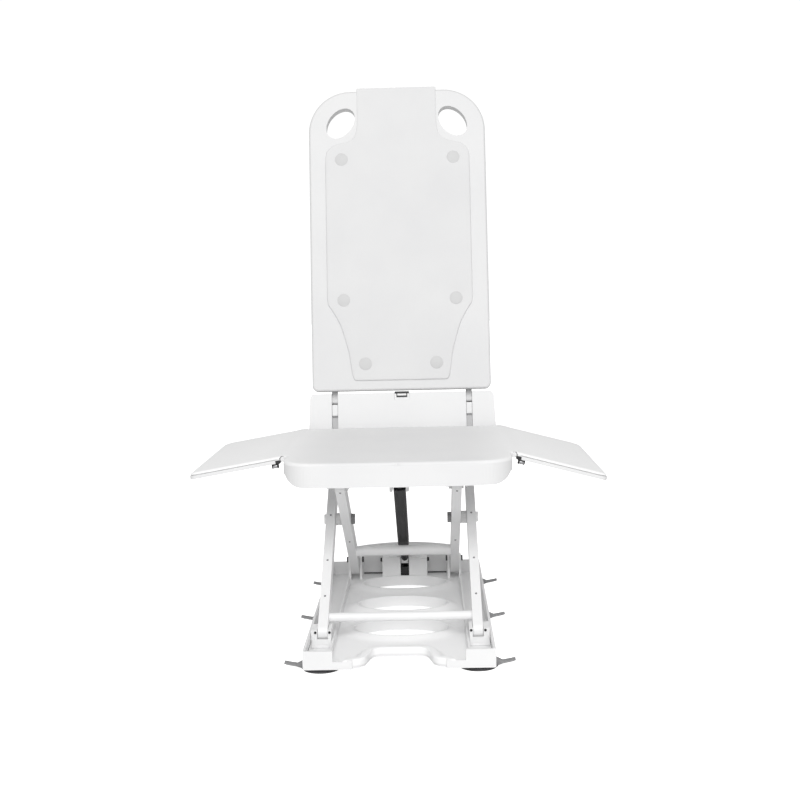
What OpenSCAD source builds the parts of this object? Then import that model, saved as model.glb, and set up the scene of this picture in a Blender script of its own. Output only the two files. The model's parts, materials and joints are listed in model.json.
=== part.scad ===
// Bath lift: a seat with side flaps and a folding backrest, raised by a
// scissor on a tray that stands on six suction cups.
// Millimetres, X to the right, the front towards -Y, Z up, bath floor at Z = 0.

/* [Base] */
// Length of the base tray
base_l = 576; // [576:1:620]
// Width over the tray's outer walls
base_w = 296; // [292:1:310]
// Height of the outer walls over the tray's underside
wall_h = 30; // [26:1:34]
// Thickness of the outer walls
wall_t = 4; // [3:0.5:5]
// Thickness of the tray's floor
floor_t = 5; // [4:0.5:6]
// Height of the low guide ribs over the floor
rib_h = 13; // [8:1:14]
// Thickness of the guide ribs
rib_t = 3.5; // [2.5:0.5:4]
// Width of the oval openings in the floor
oval_w = 160; // [120:1:166]
// Length of each oval opening
oval_l = 92; // [60:1:110]
// Distance from one oval to the next
oval_pitch = 147; // [130:1:150]
// Height of the rims round the ovals
oval_rim_h = 7; // [4:0.5:9]
// Depth of the arched cut in the front edge
arch_l = 62; // [50:1:75]
// Height of the arched middle of the rear wall
rear_arch_h = 68; // [50:1:70]
// Width of that middle
rear_arch_w = 184; // [160:1:186]
// Radius of its arched edge
rear_arch_r = 640; // [400:10:900]

/* [Suction cups] */
// Height of the tray's underside over the bath floor
cup_h = 8; // [7:0.5:10]
// Diameter of a cup
cup_d = 62; // [50:1:64]
// Middle of the cup rows from the tray's outer sides
cup_inset = 26; // [24:0.5:32]
// Distance of the end cups from the tray's ends
cup_end = 36; // [34:1:60]
// Length of the release tab beyond the cup's edge
tab_l = 25; // [15:1:32]

/* [Scissor] */
// Lower arm, from bottom pivot to middle pivot
arm_low = 259; // [240:1:259]
// Upper arm, from middle pivot to top pin
arm_up = 155; // [140:1:155]
// Angle of the arms as shown
rest_angle = 33.1; // [25:0.1:40]
// Smallest angle of the arms
low_angle = 5; // [5:0.5:10]
// Largest angle of the arms
high_angle = 50; // [44:0.5:50]
// Height of the bottom pivots over the tray's floor
pivot_up = 20.5; // [19:0.5:24]
// Distance of the rear pivots from the tray's rear end
rear_in = 30; // [28:1:36]
// Middle of the outer legs from the tray's outer sides
leg_inset = 23; // [21:0.5:24]
// From the middle of an inner leg to the middle of its outer leg
leg_pitch = 27.5; // [27:0.5:29]
// Width of a leg
leg_w = 16; // [13:0.5:16]
// Depth of a leg
leg_d = 28; // [22:1:28]
// Diameter of the pivot pins
pin_d = 10; // [8:0.5:11]
// Diameter of the front cross tube
front_tube_d = 15; // [12:0.5:15]
// Front cross tube from the slider pin, along the leg
front_tube_at = 31; // [30:1:40]
// Diameter of the rear cross tube
rear_tube_d = 19; // [15:0.5:19]
// Rear cross tube from the rear pivot, along the leg
rear_tube_at = 119; // [112:1:135]
// Rear cross tube below the middle of the leg
rear_tube_drop = 10; // [8:0.5:11]
// Wall of the cross tubes
tube_wall = 2; // [1.5:0.5:3]

/* [Seat] */
// Width of the seat shell
seat_w = 380; // [374:1:386]
// Depth of the seat shell
seat_l = 457; // [457:1:480]
// Seat's rear edge behind the rear pivots
seat_back = 39; // [36:1:44]
// Seat shell's top over the top pins
seat_up = 41.4; // [40:0.2:48]
// Thickness of the seat shell
shell_t = 6; // [4:0.5:7]
// Height of the front apron
apron_h = 35; // [30:1:36]
// Radius of the apron's lower corners
apron_r = 33; // [20:1:34]
// Radius of the seat's bowed front edge
front_r = 1700; // [1200:50:2600]
// Radius of the seat's front corners
seat_r = 55; // [40:1:70]
// Height of the side skirts under the seat
skirt_h = 16; // [10:1:20]
// Thickness of the seat and flap pads
pad_t = 5.6; // [4:0.2:7]

/* [Side flaps] */
// Width of a flap from its hinge line
flap_w = 164; // [136:1:170]
// Flap's front edge behind the seat's front edge
flap_front = 97; // [84:1:104]
// Flap's rear edge behind the seat's rear edge
flap_rear = 12; // [0:1:16]
// Thickness of a flap panel
flap_t = 6; // [4:0.5:7]
// Radius of a flap's outer front corner
flap_r = 12; // [8:1:24]
// Radius of a flap's outer rear corner
flap_rear_r = 20; // [16:1:46]
// Droop of the left flap as shown
droop_left = 9.5; // [4:0.5:16]
// Droop of the right flap as shown
droop_right = 15; // [4:0.5:16]
// Diameter of the flap hinge's barrel
barrel_d = 9; // [8:0.5:10]
// Diameter of the flap hinge pin
hinge_pin_d = 5; // [4:0.5:6]

/* [Backrest] */
// Width of the upper backrest
back_w = 360; // [350:1:370]
// Height of the upper backrest
back_h = 616; // [580:1:650]
// Thickness of the backrest panels
back_t = 22; // [20:0.5:26]
// Lean of the backrest as shown
recline = 10; // [6:0.5:14]
// Upper panel's lower edge over the seat shell
back_up = 77; // [77:0.5:90]
// Upper panel's lower edge behind the seat's rear edge
back_gap = 30; // [28:0.5:40]
// Radius of the upper corners
back_r = 85; // [60:1:95]
// Gap between the two panels
panel_gap = 5; // [4:0.5:6]
// Width of the lower plate at its foot
lower_w = 376; // [366:1:390]
// Height of the lower plate
lower_h = 75; // [74:0.5:75]
// Middle of the backrest hinges from the middle of the lift
hinge_x = 135; // [130:0.5:136]
// Width of the hinge slots
slot_w = 12.2; // [10:0.2:14]
// Diameter of the backrest hinge pins
back_pin_d = 8; // [6:0.5:9]
// Length of a hand hole
hole_l = 70; // [56:1:76]
// Width of a hand hole
hole_w = 49; // [40:1:54]
// Thickness of the backrest cover
cover_t = 4; // [3:0.5:5]
// Half width of the cover's broad part
cover_x = 147; // [140:1:150]
// Half width of the cover at its foot
cover_foot_x = 96; // [90:1:100]
// Cover's foot over the panel's lower edge
cover_foot_up = 20; // [16:1:24]
// Where the broad part starts, over the panel's lower edge
cover_broad_up = 184; // [176:1:192]
// Where the broad part ends, under the panel's upper edge
cover_broad_down = 138; // [132:1:144]
// Height of the shoulders between the broad part and the strap
cover_shoulder_h = 74; // [60:1:80]
// Half width of the strap over the top edge
strap_x = 81; // [60:1:84]
// Height of the strap over the top edge
strap_up = 8; // [5:0.5:10]
// Diameter of the cover studs
stud_d = 26.7; // [20:0.1:30]

/* [Drive column] */
// Column's top pin in front of the outer legs' top pins
pin_ahead = 209.1; // [204:0.1:214]
// Column's top pin below the outer legs' top pins
pin_below = 5.2; // [4:0.1:7]
// Column's foot pin over the tray's floor
foot_up = 34; // [33:0.5:36]
// Width of the column's outer tube
column_w = 21; // [20:0.5:22]
// Bore of the column's outer tube
column_bore = 17; // [16.5:0.1:17.4]
// Length from the top pin to the tube's lower end
column_l = 262; // [240:1:262]
// Diameter of the push rod
rod_d = 13; // [12:0.5:13.5]
// Length of the push rod from the foot pin
rod_l = 183; // [179:1:183]
// Diameter of the lead screw
screw_d = 7; // [6:0.5:7.5]
// Length of the lead screw
screw_l = 155; // [150:1:160]
// Length of the drive motor
motor_l = 75; // [60:1:80]
// Width of the slot that takes the top pin
lug_slot_w = 16; // [16:0.5:17]
// Length of that slot between its round ends
lug_slot_l = 36; // [36:0.5:38]
// Slope of that slot
lug_slope = 40.4; // [40:0.1:41]

/* [Clearances] */
// Radial clearance of a pin in its bore
run = 0.05; // [0.02:0.01:0.1]
// Clearance of sliding and folding faces
gap = 0.3; // [0.3:0.05:0.5]
// Side clearance beside a turning leg
side_gap = 0.5; // [0.4:0.1:0.6]

/* [Hidden] */
$fn = 64;
white = "whitesmoke";
floor_z = cup_h + floor_t;
pivot_z = floor_z + pivot_up;
arm = arm_low + arm_up;
seat_rear_in = base_l - rear_in + seat_back;
depth_all = seat_rear_in + back_gap + (back_h + strap_up) * sin(recline) + back_t * cos(recline);
front_y = -depth_all / 2;
rear_y = front_y + base_l;

// Pivots of the scissor in the shown pose, as [y, z]
rear_pin = [rear_y - rear_in, pivot_z];
mid_pin = rear_pin + arm_low * [-cos(rest_angle), sin(rest_angle)];
front_pin = rear_pin + [-2 * arm_low * cos(rest_angle), 0];
rear_top = rear_pin + [-(arm_low - arm_up) * cos(rest_angle), arm * sin(rest_angle)];
front_top = rear_pin + [-arm * cos(rest_angle), arm * sin(rest_angle)];

// Levels and edges of the seat and backrest
shell_z = rear_top[1] + seat_up;
under_z = shell_z - shell_t;
seat_y1 = rear_pin[0] + seat_back;
seat_y0 = seat_y1 - seat_l;
flap_x = seat_w / 2 + barrel_d / 2 + 1;
back_y = seat_y1 + back_gap;
back_z = shell_z + back_up;
fold_at = [back_t / 2, -20];
tilt_at = [back_t / 2, -lower_h - panel_gap - 11];
tilt_pin = [back_y, back_z]
    + tilt_at[0] * [cos(recline), -sin(recline)]
    + tilt_at[1] * [sin(recline), cos(recline)];

// Legs and cups across the tray, and the track and rail spaces beside the legs
cup_x = base_w / 2 - cup_inset;
outer_x = base_w / 2 - leg_inset;
inner_x = outer_x - leg_pitch;
outer_in = outer_x - leg_w / 2;
outer_out = outer_x + leg_w / 2;
inner_in = inner_x - leg_w / 2;
inner_out = inner_x + leg_w / 2;
rib_x = inner_out + 1.5;
chan_x0 = rib_x + rib_t;
chan_x1 = base_w / 2 - wall_t;
rail_x0 = inner_in - 10;
rail_x1 = outer_in - 4.2;
rail_t = 2.2;
lip_w = 4;
lip_z = front_top[1] + 4.4;
rail_y0 = rear_top[0] - 2 * arm_up * cos(low_angle) - 12.6;
rail_y1 = rear_top[0] - 2 * arm_up * cos(high_angle) + 16;

// Drive column
foot_pin = [rear_pin[0], floor_z + foot_up];
top_pin = rear_top - [pin_ahead, pin_below];
drive = top_pin - foot_pin;
drive_l = norm(drive);
drive_angle = atan2(drive[1], -drive[0]);
lug_mid = top_pin + 13.6 * [cos(lug_slope), sin(lug_slope)];
foot_gap = 8.3;
eye_w = 14;
lug_x = column_w / 2 + 1;
lug_t = 5;

// A profile drawn in Y and Z, given a thickness along X about its middle
module yz(x, t) {
    translate([x, 0, 0]) rotate([90, 0, 90]) linear_extrude(height = t, center = true) children();
}

// A round bar along X
module rod_x(x, p, d, l) {
    translate([x, p[0], p[1]]) rotate([0, 90, 0]) cylinder(d = d, h = l, center = true);
}

// Both sides of the lift
module both() {
    children();
    mirror([1, 0, 0]) children();
}

// Frame of the backrest: front face in Y = 0, Z up the panel from the upper panel's lower edge
module on_back() {
    translate([0, back_y, back_z]) rotate([-recline, 0, 0]) children();
}

// Frame of the drive column: Z from the foot pin along the column
module on_column() {
    translate([0, foot_pin[0], foot_pin[1]]) rotate([90 - drive_angle, 0, 0]) children();
}

// Frame of the right flap at a droop: X outwards from the hinge line
module on_flap(droop) {
    translate([flap_x, 0, shell_z]) rotate([0, droop, 0]) children();
}

// A profile drawn in X and Z of the local frame, from depth y0 to y1
module slab(y0, y1) {
    translate([0, y1, 0]) rotate([90, 0, 0]) linear_extrude(height = y1 - y0) children();
}

// Rounded rectangle from its lower left corner, with lower and upper corner radii
module round_rect(x0, y0, w, h, r0, r1) {
    translate([x0 + r0, y0]) square([w - 2 * r0, h / 2]);
    translate([x0 + r1, y0 + h / 2]) square([w - 2 * r1, h / 2]);
    translate([x0, y0 + r0]) square([w, h - r0 - r1]);
    for (x = [x0 + r0, x0 + w - r0])
        translate([x, y0 + r0]) circle(r = r0);
    for (x = [x0 + r1, x0 + w - r1])
        translate([x, y0 + h - r1]) circle(r = r1);
}

// Ellipse with straight facets
module oval(w, l) {
    polygon([for (i = [0:47]) [w / 2 * cos(7.5 * i), l / 2 * sin(7.5 * i)]]);
}

oval_y = [for (i = [0:2]) front_y + 182 + i * oval_pitch];
cup_y = [front_y + cup_end, (front_y + rear_y) / 2, rear_y - cup_end - 18];

// Arched cut in the tray's front edge, grown by g
module arch_cut(g) {
    half = [
        [73, -8], [72, 5], [61, 9], [53, 18], [49, 34],
        [46, arch_l - 14], [41, arch_l - 4], [32, arch_l]
    ];
    right = [for (p = half) [p[0] + g, p[1] < 0 ? p[1] : p[1] + g * p[1] / arch_l]];
    left = [for (i = [len(half) - 1:-1:0]) [-right[i][0], right[i][1]]];
    translate([0, front_y]) polygon(concat(right, left));
}

module base_tray() color(white) {
    stem_d = 12;
    difference() {
        union() {
            translate([-base_w / 2, front_y, cup_h]) cube([base_w, base_l, floor_t]);
            for (y = oval_y)
                translate([0, y, cup_h]) linear_extrude(height = floor_t + oval_rim_h)
                    oval(oval_w + 7, oval_l + 7);
            intersection() {
                translate([0, 0, cup_h]) linear_extrude(height = floor_t + 9) arch_cut(8);
                translate([-100, front_y, 0]) cube([200, 200, 100]);
            }
            both() {
                translate([chan_x1, front_y, cup_h]) cube([wall_t, base_l, wall_h]);
                translate([rib_x, front_y, cup_h]) cube([rib_t, base_l - rear_in - 45, floor_t + rib_h]);
                translate([rib_x - 5, front_y, cup_h]) cube([base_w / 2 - rib_x + 5, 6, wall_h - 1]);
                translate([60, front_y, cup_h]) cube([60, 5, floor_t + 7]);
            }
            translate([0, rear_y, 0]) slab(-wall_t, 0) {
                translate([-base_w / 2, cup_h]) square([base_w, wall_h]);
                intersection() {
                    translate([0, cup_h + rear_arch_h - rear_arch_r]) circle(r = rear_arch_r, $fn = 360);
                    translate([-rear_arch_w / 2, cup_h]) square([rear_arch_w, rear_arch_h + 1]);
                }
            }
        }
        for (y = oval_y)
            translate([0, y, cup_h - 1]) linear_extrude(height = 40) oval(oval_w, oval_l);
        translate([0, 0, cup_h - 1]) linear_extrude(height = 40) arch_cut(0);
        for (x = [-cup_x, cup_x], y = cup_y)
            translate([x, y, cup_h - 1]) cylinder(d = stem_d, h = floor_t + 2);
    }
}

module suction_cups() color("dimgray") {
    stem_d = 12 - 2 * gap;
    rim = cup_d / 2;
    for (s = [-1, 1], y = cup_y)
        translate([s * cup_x, y, 0]) {
            rotate_extrude()
                polygon([
                    [0, 4], [rim - 14, 3], [rim - 4, 0], [rim, 0], [rim, 2.2],
                    [rim - 12, cup_h - 1.2], [rim - 16, cup_h], [stem_d / 2, cup_h],
                    [stem_d / 2, floor_z], [0, floor_z]
                ]);
            mirror([s < 0 ? 1 : 0, 0, 0]) translate([rim - 4, 0, 1]) rotate([0, -17, 0]) {
                translate([0, -8, 0]) cube([tab_l - 2, 16, 2.4]);
                translate([tab_l - 2, 0, 0]) cylinder(r = 8, h = 2.4);
            }
        }
}

// Ears of the rear pivot, one pair on each side
ear_t = 5;
ear_d = 36;
ear_up = 22;
ear_bolt_at = [-8, 17];
ear_bolt_d = 6;
ear_head_d = 11;
ear_head_t = 3.2;
module rear_pivot_brackets() color(white) both() {
    difference() {
        for (x = [inner_in - side_gap - ear_t / 2, inner_out + side_gap + ear_t / 2])
            yz(x, ear_t) {
                translate([rear_pin[0] - ear_d / 2, floor_z]) {
                    square([ear_d, pivot_up]);
                    square([ear_d - ear_bolt_d, pivot_up + ear_up]);
                }
                translate(rear_pin) circle(d = ear_d);
            }
        rod_x(inner_x, rear_pin, pin_d + 2 * run, leg_w + 4 * ear_t);
        rod_x(inner_x, rear_pin + ear_bolt_at, ear_bolt_d + 2 * run, leg_w + 4 * ear_t);
    }
}

module rear_pivot_pins() color("gray") both() {
    x0 = inner_in - side_gap - ear_t;
    x1 = inner_out + side_gap + ear_t;
    rod_x((x0 + x1) / 2, rear_pin, pin_d, x1 - x0);
}

// Short bolts with round heads near the top of each ear
module bracket_bolts() color("dimgray") both() {
    for (e = [[inner_in - side_gap - ear_t, -1], [inner_out + side_gap + ear_t, 1]]) {
        rod_x(e[0] - e[1] * (ear_t - 1) / 2, rear_pin + ear_bolt_at, ear_bolt_d, ear_t - 1);
        rod_x(e[0] + e[1] * ear_head_t / 2, rear_pin + ear_bolt_at, ear_head_d, ear_head_t);
    }
}

module drive_foot_blocks() color(white) both() {
    block_x1 = 44;
    difference() {
        union() {
            translate([foot_gap, foot_pin[0] - 16, floor_z]) cube([block_x1 - foot_gap, 36, foot_up + 6]);
            translate([foot_gap + 4, foot_pin[0] - 4, floor_z]) cube([19, 24, foot_up + 13]);
        }
        rod_x(0, foot_pin, pin_d + 2 * run, 200);
    }
}

module drive_foot_pin() color("gray") rod_x(0, foot_pin, pin_d, 84);

// A leg's side view: a bar with round ends
module bar(l) {
    translate([0, -leg_d / 2]) square([l, leg_d]);
    circle(d = leg_d);
    translate([l, 0]) circle(d = leg_d);
}

module inner_leg(s) color("gainsboro") yz(s * inner_x, leg_w)
    difference() {
        translate(rear_pin) rotate(180 - rest_angle) bar(arm);
        for (p = [rear_pin, mid_pin, front_top])
            translate(p) circle(d = pin_d + 2 * run);
    }
module inner_leg_left() inner_leg(-1);
module inner_leg_right() inner_leg(1);

module outer_leg(s) color(white) yz(s * outer_x, leg_w)
    difference() {
        translate(front_pin) rotate(rest_angle) bar(arm);
        for (p = [front_pin, mid_pin, rear_top])
            translate(p) circle(d = pin_d + 2 * run);
    }
module outer_leg_left() outer_leg(-1);
module outer_leg_right() outer_leg(1);

// A cross tube between two legs
module cross_tube(p, d, l) {
    difference() {
        rod_x(0, p, d, l);
        rod_x(0, p, d - 2 * tube_wall, l + 2);
    }
}

rear_tube = rear_pin
    + rear_tube_at * [-cos(rest_angle), sin(rest_angle)]
    - rear_tube_drop * [sin(rest_angle), cos(rest_angle)];
front_tube = front_pin + front_tube_at * [cos(rest_angle), sin(rest_angle)];

module rear_cross_tube() color("silver") cross_tube(rear_tube, rear_tube_d, 2 * inner_in);
module front_cross_tube() color(white) cross_tube(front_tube, front_tube_d, 2 * outer_in);

nut_t = 7;
nut_d = 19;
head_t = 4;
head_d = 18;
spacer_d = 22;
module middle_bolts() color("dimgray") both() {
    x0 = inner_in - nut_t;
    x1 = outer_out + gap;
    rod_x((x0 + x1) / 2, mid_pin, pin_d, x1 - x0);
    rod_x(x1 + head_t / 2, mid_pin, head_d, head_t);
}

module middle_spacers() color("silver") both()
    difference() {
        rod_x((inner_out + outer_in - gap) / 2, mid_pin, spacer_d, outer_in - inner_out - gap);
        rod_x(inner_x, mid_pin, pin_d + 2 * run, 2 * leg_pitch + leg_w);
    }

module middle_nuts() color("dimgray") both()
    difference() {
        translate([inner_in - nut_t / 2, mid_pin[0], mid_pin[1]]) rotate([0, 90, 0])
            cylinder(d = nut_d, h = nut_t, center = true, $fn = 6);
        rod_x(inner_x, mid_pin, pin_d + 2 * run, 2 * leg_pitch + leg_w);
    }

// U-shaped shoe that carries the foot of an outer leg along its channel
shoe_l = 38;
module front_slider(s) color("lightgray") mirror([s < 0 ? 1 : 0, 0, 0])
    difference() {
        x0 = chan_x0 + side_gap;
        x1 = chan_x1 - side_gap;
        yz((x0 + x1) / 2, x1 - x0)
            translate([front_pin[0] - shoe_l / 2, floor_z + gap]) square([shoe_l, pivot_up + 8]);
        yz(outer_x, leg_w + 2 * side_gap)
            translate([front_pin[0] - shoe_l, pivot_z - leg_d / 2 - 1]) square(2 * shoe_l);
        rod_x(outer_x, front_pin, pin_d + 2 * run, 2 * (chan_x1 - chan_x0));
    }
module front_slider_left() front_slider(-1);
module front_slider_right() front_slider(1);

module front_slider_pins() color("dimgray") both() {
    x0 = chan_x0 + side_gap;
    x1 = chan_x1 - side_gap;
    rod_x((x0 + x1) / 2, front_pin, pin_d, x1 - x0);
}

// Plan of the seat, drawn in by a distance: its bowed front edge runs into the front corners, which
// touch the bow at bow_a from straight ahead
corner_x = seat_w / 2 - seat_r;
corner_y = seat_y0 + front_r - sqrt(pow(front_r - seat_r, 2) - corner_x * corner_x);
bow_a = asin(corner_x / (front_r - seat_r));
function seat_side(inset) = concat(
    [for (i = [1:8]) let (a = bow_a * i / 8)
        [(front_r - inset) * sin(a), seat_y0 + front_r - (front_r - inset) * cos(a)]],
    [for (i = [1:14]) let (a = bow_a + (90 - bow_a) * i / 14)
        [corner_x + (seat_r - inset) * sin(a), corner_y - (seat_r - inset) * cos(a)]],
    [[seat_w / 2 - inset, seat_y1 - inset]]
);
module seat_plan(inset) {
    right = seat_side(inset);
    left = [for (i = [len(right) - 1:-1:0]) [-right[i][0], right[i][1]]];
    polygon(concat(right, left));
}

apron_t = 5;
module seat_shell() color(white) {
    knuckle_l = 26;
    translate([0, 0, under_z]) linear_extrude(height = shell_t) seat_plan(0);
    intersection() {
        translate([0, 0, shell_z - apron_h]) linear_extrude(height = apron_h)
            difference() {
                seat_plan(0);
                seat_plan(apron_t);
            }
        translate([0, seat_y0, 0]) slab(-1, corner_y - seat_y0)
            round_rect(-seat_w / 2, shell_z - apron_h, seat_w, apron_h, apron_r, 1);
    }
    both() {
        translate([seat_w / 2 - 4, corner_y, shell_z - skirt_h]) cube([4, seat_y1 - corner_y, skirt_h]);
        for (y = [seat_y0 + flap_front + 40 : 96 : seat_y1 - 30])
            translate([0, y, 0]) difference() {
                union() {
                    translate([flap_x, 0, shell_z]) rotate([-90, 0, 0]) cylinder(d = barrel_d, h = knuckle_l);
                    translate([seat_w / 2 - 4, 0, under_z])
                        cube([flap_x - seat_w / 2 + 4, knuckle_l, shell_t - 0.5]);
                }
                translate([flap_x, -1, shell_z]) rotate([-90, 0, 0])
                    cylinder(d = hinge_pin_d + 2 * run, h = knuckle_l + 2);
            }
    }
}

module seat_pad() color("lightgray")
    intersection() {
        translate([0, 0, shell_z]) linear_extrude(height = pad_t) seat_plan(0);
        translate([0, seat_y0, 0]) slab(-10, seat_l + 10) {
            e = seat_w / 2 - 0.5;
            polygon([[-e, shell_z], [e, shell_z], [e - 3, shell_z + pad_t], [3 - e, shell_z + pad_t]]);
        }
    }

// Rail under the seat: a channel whose inward lips hold the shoes
module seat_rail(s) color("silver") mirror([s < 0 ? 1 : 0, 0, 0]) {
    l = rail_y1 - rail_y0;
    translate([rail_x0 - rail_t, rail_y0, under_z - 3]) cube([rail_x1 - rail_x0 + 2 * rail_t, l, 3]);
    for (x = [rail_x0 - rail_t, rail_x1])
        translate([x, rail_y0, lip_z]) cube([rail_t, l, under_z - lip_z]);
    for (x = [rail_x0 - 0.1, rail_x1 - lip_w + 0.1])
        translate([x, rail_y0, lip_z]) cube([lip_w, l, 3]);
}
module seat_rail_left() seat_rail(-1);
module seat_rail_right() seat_rail(1);

// Shoes on both sides of an inner leg's top, with a neck between the rail's lips
module seat_slider_shoes() color("dimgray") both() {
    head_z = lip_z + 3 + gap;
    foot_z = front_top[1] - 8;
    half = 12;
    difference() {
        for (e = [[rail_x0 + gap, inner_in - gap, rail_x0 + lip_w + gap, inner_in - gap],
                  [inner_out + gap, rail_x1 - gap, inner_out + gap, rail_x1 - lip_w - gap]]) {
            translate([e[0], front_top[0] - half, head_z])
                cube([e[1] - e[0], 2 * half, under_z - 3 - gap - head_z]);
            translate([e[2], front_top[0] - half, foot_z])
                cube([e[3] - e[2], 2 * half, head_z - foot_z]);
        }
        rod_x(inner_x, front_top, pin_d + 2 * run, 2 * (rail_x1 - rail_x0));
    }
}

module seat_slider_pins() color("gray") both() {
    x0 = rail_x0 + lip_w + gap;
    x1 = rail_x1 - lip_w - gap;
    rod_x((x0 + x1) / 2, front_top, pin_d, x1 - x0);
}

// Brackets that hold the tops of the outer legs
bracket_t = 6;
bracket_d = 32;
bracket_plate_t = 3;
module rear_seat_brackets() color("silver") both()
    difference() {
        union() {
            for (x = [outer_in - side_gap - bracket_t / 2, outer_out + side_gap + bracket_t / 2])
                yz(x, bracket_t) {
                    translate([rear_top[0] - bracket_d / 2, rear_top[1]])
                        square([bracket_d, under_z - rear_top[1]]);
                    translate(rear_top) circle(d = bracket_d);
                }
            translate([outer_in - side_gap - bracket_t, rear_top[0] - bracket_d / 2, under_z])
                mirror([0, 0, 1]) cube([leg_w + 2 * side_gap + 2 * bracket_t, bracket_d, bracket_plate_t]);
        }
        rod_x(outer_x, rear_top, pin_d + 2 * run, leg_w + 4 * bracket_t);
    }

module rear_seat_pins() color("gray") both()
    rod_x(outer_x, rear_top, pin_d, leg_w + 2 * side_gap + 2 * bracket_t);

// Ears behind the seat that carry the reclining hinge
tilt_ear_t = 5;
tilt_ear_d = 17;
tilt_ear_in = 26;
tilt_web_l = 24;
module recline_ears() color(white) both()
    for (x = [hinge_x - slot_w / 2 - tilt_ear_t / 2, hinge_x + slot_w / 2 + tilt_ear_t / 2])
        difference() {
            yz(x, tilt_ear_t) {
                translate([seat_y1 - tilt_ear_in, tilt_pin[1] - tilt_ear_d / 2]) {
                    square([tilt_pin[0] - seat_y1 + tilt_ear_in, tilt_ear_d]);
                    square([tilt_web_l, under_z - tilt_pin[1] + tilt_ear_d / 2]);
                }
                translate(tilt_pin) circle(d = tilt_ear_d);
            }
            rod_x(hinge_x, tilt_pin, back_pin_d + 2 * run, slot_w + 4 * tilt_ear_t);
        }

module recline_pins() color("gray") both()
    rod_x(hinge_x, tilt_pin, back_pin_d, slot_w + 2 * tilt_ear_t);

// Plates under the seat with the slot that takes the column's top pin
module drive_lug() color("silver") both()
    yz(lug_x + lug_t / 2, lug_t)
        difference() {
            translate([lug_mid[0] - 30, lug_mid[1] - 23]) square([60, under_z - lug_mid[1] + 23]);
            translate(lug_mid) rotate(lug_slope) {
                square([lug_slot_l, lug_slot_w], center = true);
                for (u = [-lug_slot_l / 2, lug_slot_l / 2])
                    translate([u, 0]) circle(d = lug_slot_w);
            }
        }

// Socket for the hand control under the seat's rear
module control_socket() color("dimgray") {
    translate([-14, seat_y1 - 40, under_z - 18]) cube([28, 30, 18]);
    translate([0, seat_y1 - 11, under_z - 9]) rotate([-90, 0, 0])
        difference() {
            cylinder(d = 14, h = 10);
            translate([0, 0, 3]) cylinder(d = 9, h = 8);
        }
}

flap_y0 = seat_y0 + flap_front;
flap_y1 = seat_y1 + flap_rear;
module flap_hinge_pins() color("gray") both()
    translate([flap_x, flap_y0 + 1, shell_z]) rotate([-90, 0, 0])
        cylinder(d = hinge_pin_d, h = seat_y1 - flap_y0 - 4);

// Plan of the right flap from u0 outwards
module flap_plan(u0) {
    translate([u0, flap_y0 + flap_r]) square([flap_w - u0, flap_y1 - flap_y0 - flap_r - flap_rear_r]);
    translate([u0, flap_y0]) square([flap_w - u0 - flap_r, flap_r + 1]);
    translate([u0, flap_y1 - flap_rear_r - 1]) square([flap_w - u0 - flap_rear_r, flap_rear_r + 1]);
    translate([flap_w - flap_r, flap_y0 + flap_r]) circle(r = flap_r);
    translate([flap_w - flap_rear_r, flap_y1 - flap_rear_r]) circle(r = flap_rear_r);
}

flap_u = barrel_d / 2 + 1;
module flap_panel(droop) {
    knuckle_l = 26;
    on_flap(droop) {
        translate([0, 0, -flap_t]) linear_extrude(height = flap_t) flap_plan(flap_u);
        for (y = [flap_y0 + 88 : 96 : seat_y1 - 30])
            translate([0, y, 0]) difference() {
                union() {
                    rotate([-90, 0, 0]) cylinder(d = barrel_d, h = knuckle_l);
                    translate([0, 0, -flap_t]) cube([flap_u + 4, knuckle_l, flap_t - 0.5]);
                }
                translate([0, -1, 0]) rotate([-90, 0, 0])
                    cylinder(d = hinge_pin_d + 2 * run, h = knuckle_l + 2);
            }
    }
}
module right_flap() color(white) flap_panel(droop_right);
module left_flap() color(white) mirror([1, 0, 0]) flap_panel(droop_left);

module flap_pad(droop)
    on_flap(droop) intersection() {
        linear_extrude(height = pad_t) flap_plan(flap_u);
        translate([0, flap_y0, 0]) slab(-10, flap_y1 - flap_y0 + 10)
            polygon([[flap_u, 0], [flap_w + 1, 0], [flap_w + 1, pad_t], [flap_u + 3, pad_t]]);
    }
module right_flap_pad() color("lightgray") flap_pad(droop_right);
module left_flap_pad() color("lightgray") mirror([1, 0, 0]) flap_pad(droop_left);

// Dark clip under the front of each flap's hinge, with two screw heads
module hinge_clips(droop) {
    on_flap(droop) translate([flap_u + 2, flap_y0 + 3, -flap_t]) {
        translate([0, 0, -3]) cube([20, 12, 3]);
        for (u = [5, 15])
            translate([u, 6, -5]) cylinder(d = 7, h = 2);
    }
}
module right_hinge_clips() color("dimgray") hinge_clips(droop_right);
module left_hinge_clips() color("dimgray") mirror([1, 0, 0]) hinge_clips(droop_left);

latch_w = 30;
module lower_back_plate() color(white) on_back()
    difference() {
        top = -panel_gap;
        foot = top - lower_h;
        slab(0, back_t)
            polygon([
                [-lower_w / 2, foot], [lower_w / 2, foot], [lower_w / 2 - 3, top - 8], [lower_w / 2 - 8, top],
                [8 - lower_w / 2, top], [3 - lower_w / 2, top - 8]
            ]);
        for (s = [-1, 1]) {
            translate([s * hinge_x - slot_w / 2, -1, foot - 1]) cube([slot_w, back_t - 3.5, lower_h + 2]);
            rod_x(s * hinge_x, fold_at, back_pin_d + 2 * run, 44);
            rod_x(s * hinge_x, [fold_at[0], -62], 5 + 2 * run, 44);
        }
        translate([-latch_w / 2 - gap, -1, top - 14]) cube([latch_w + 2 * gap, 13.5, 20]);
    }

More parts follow.
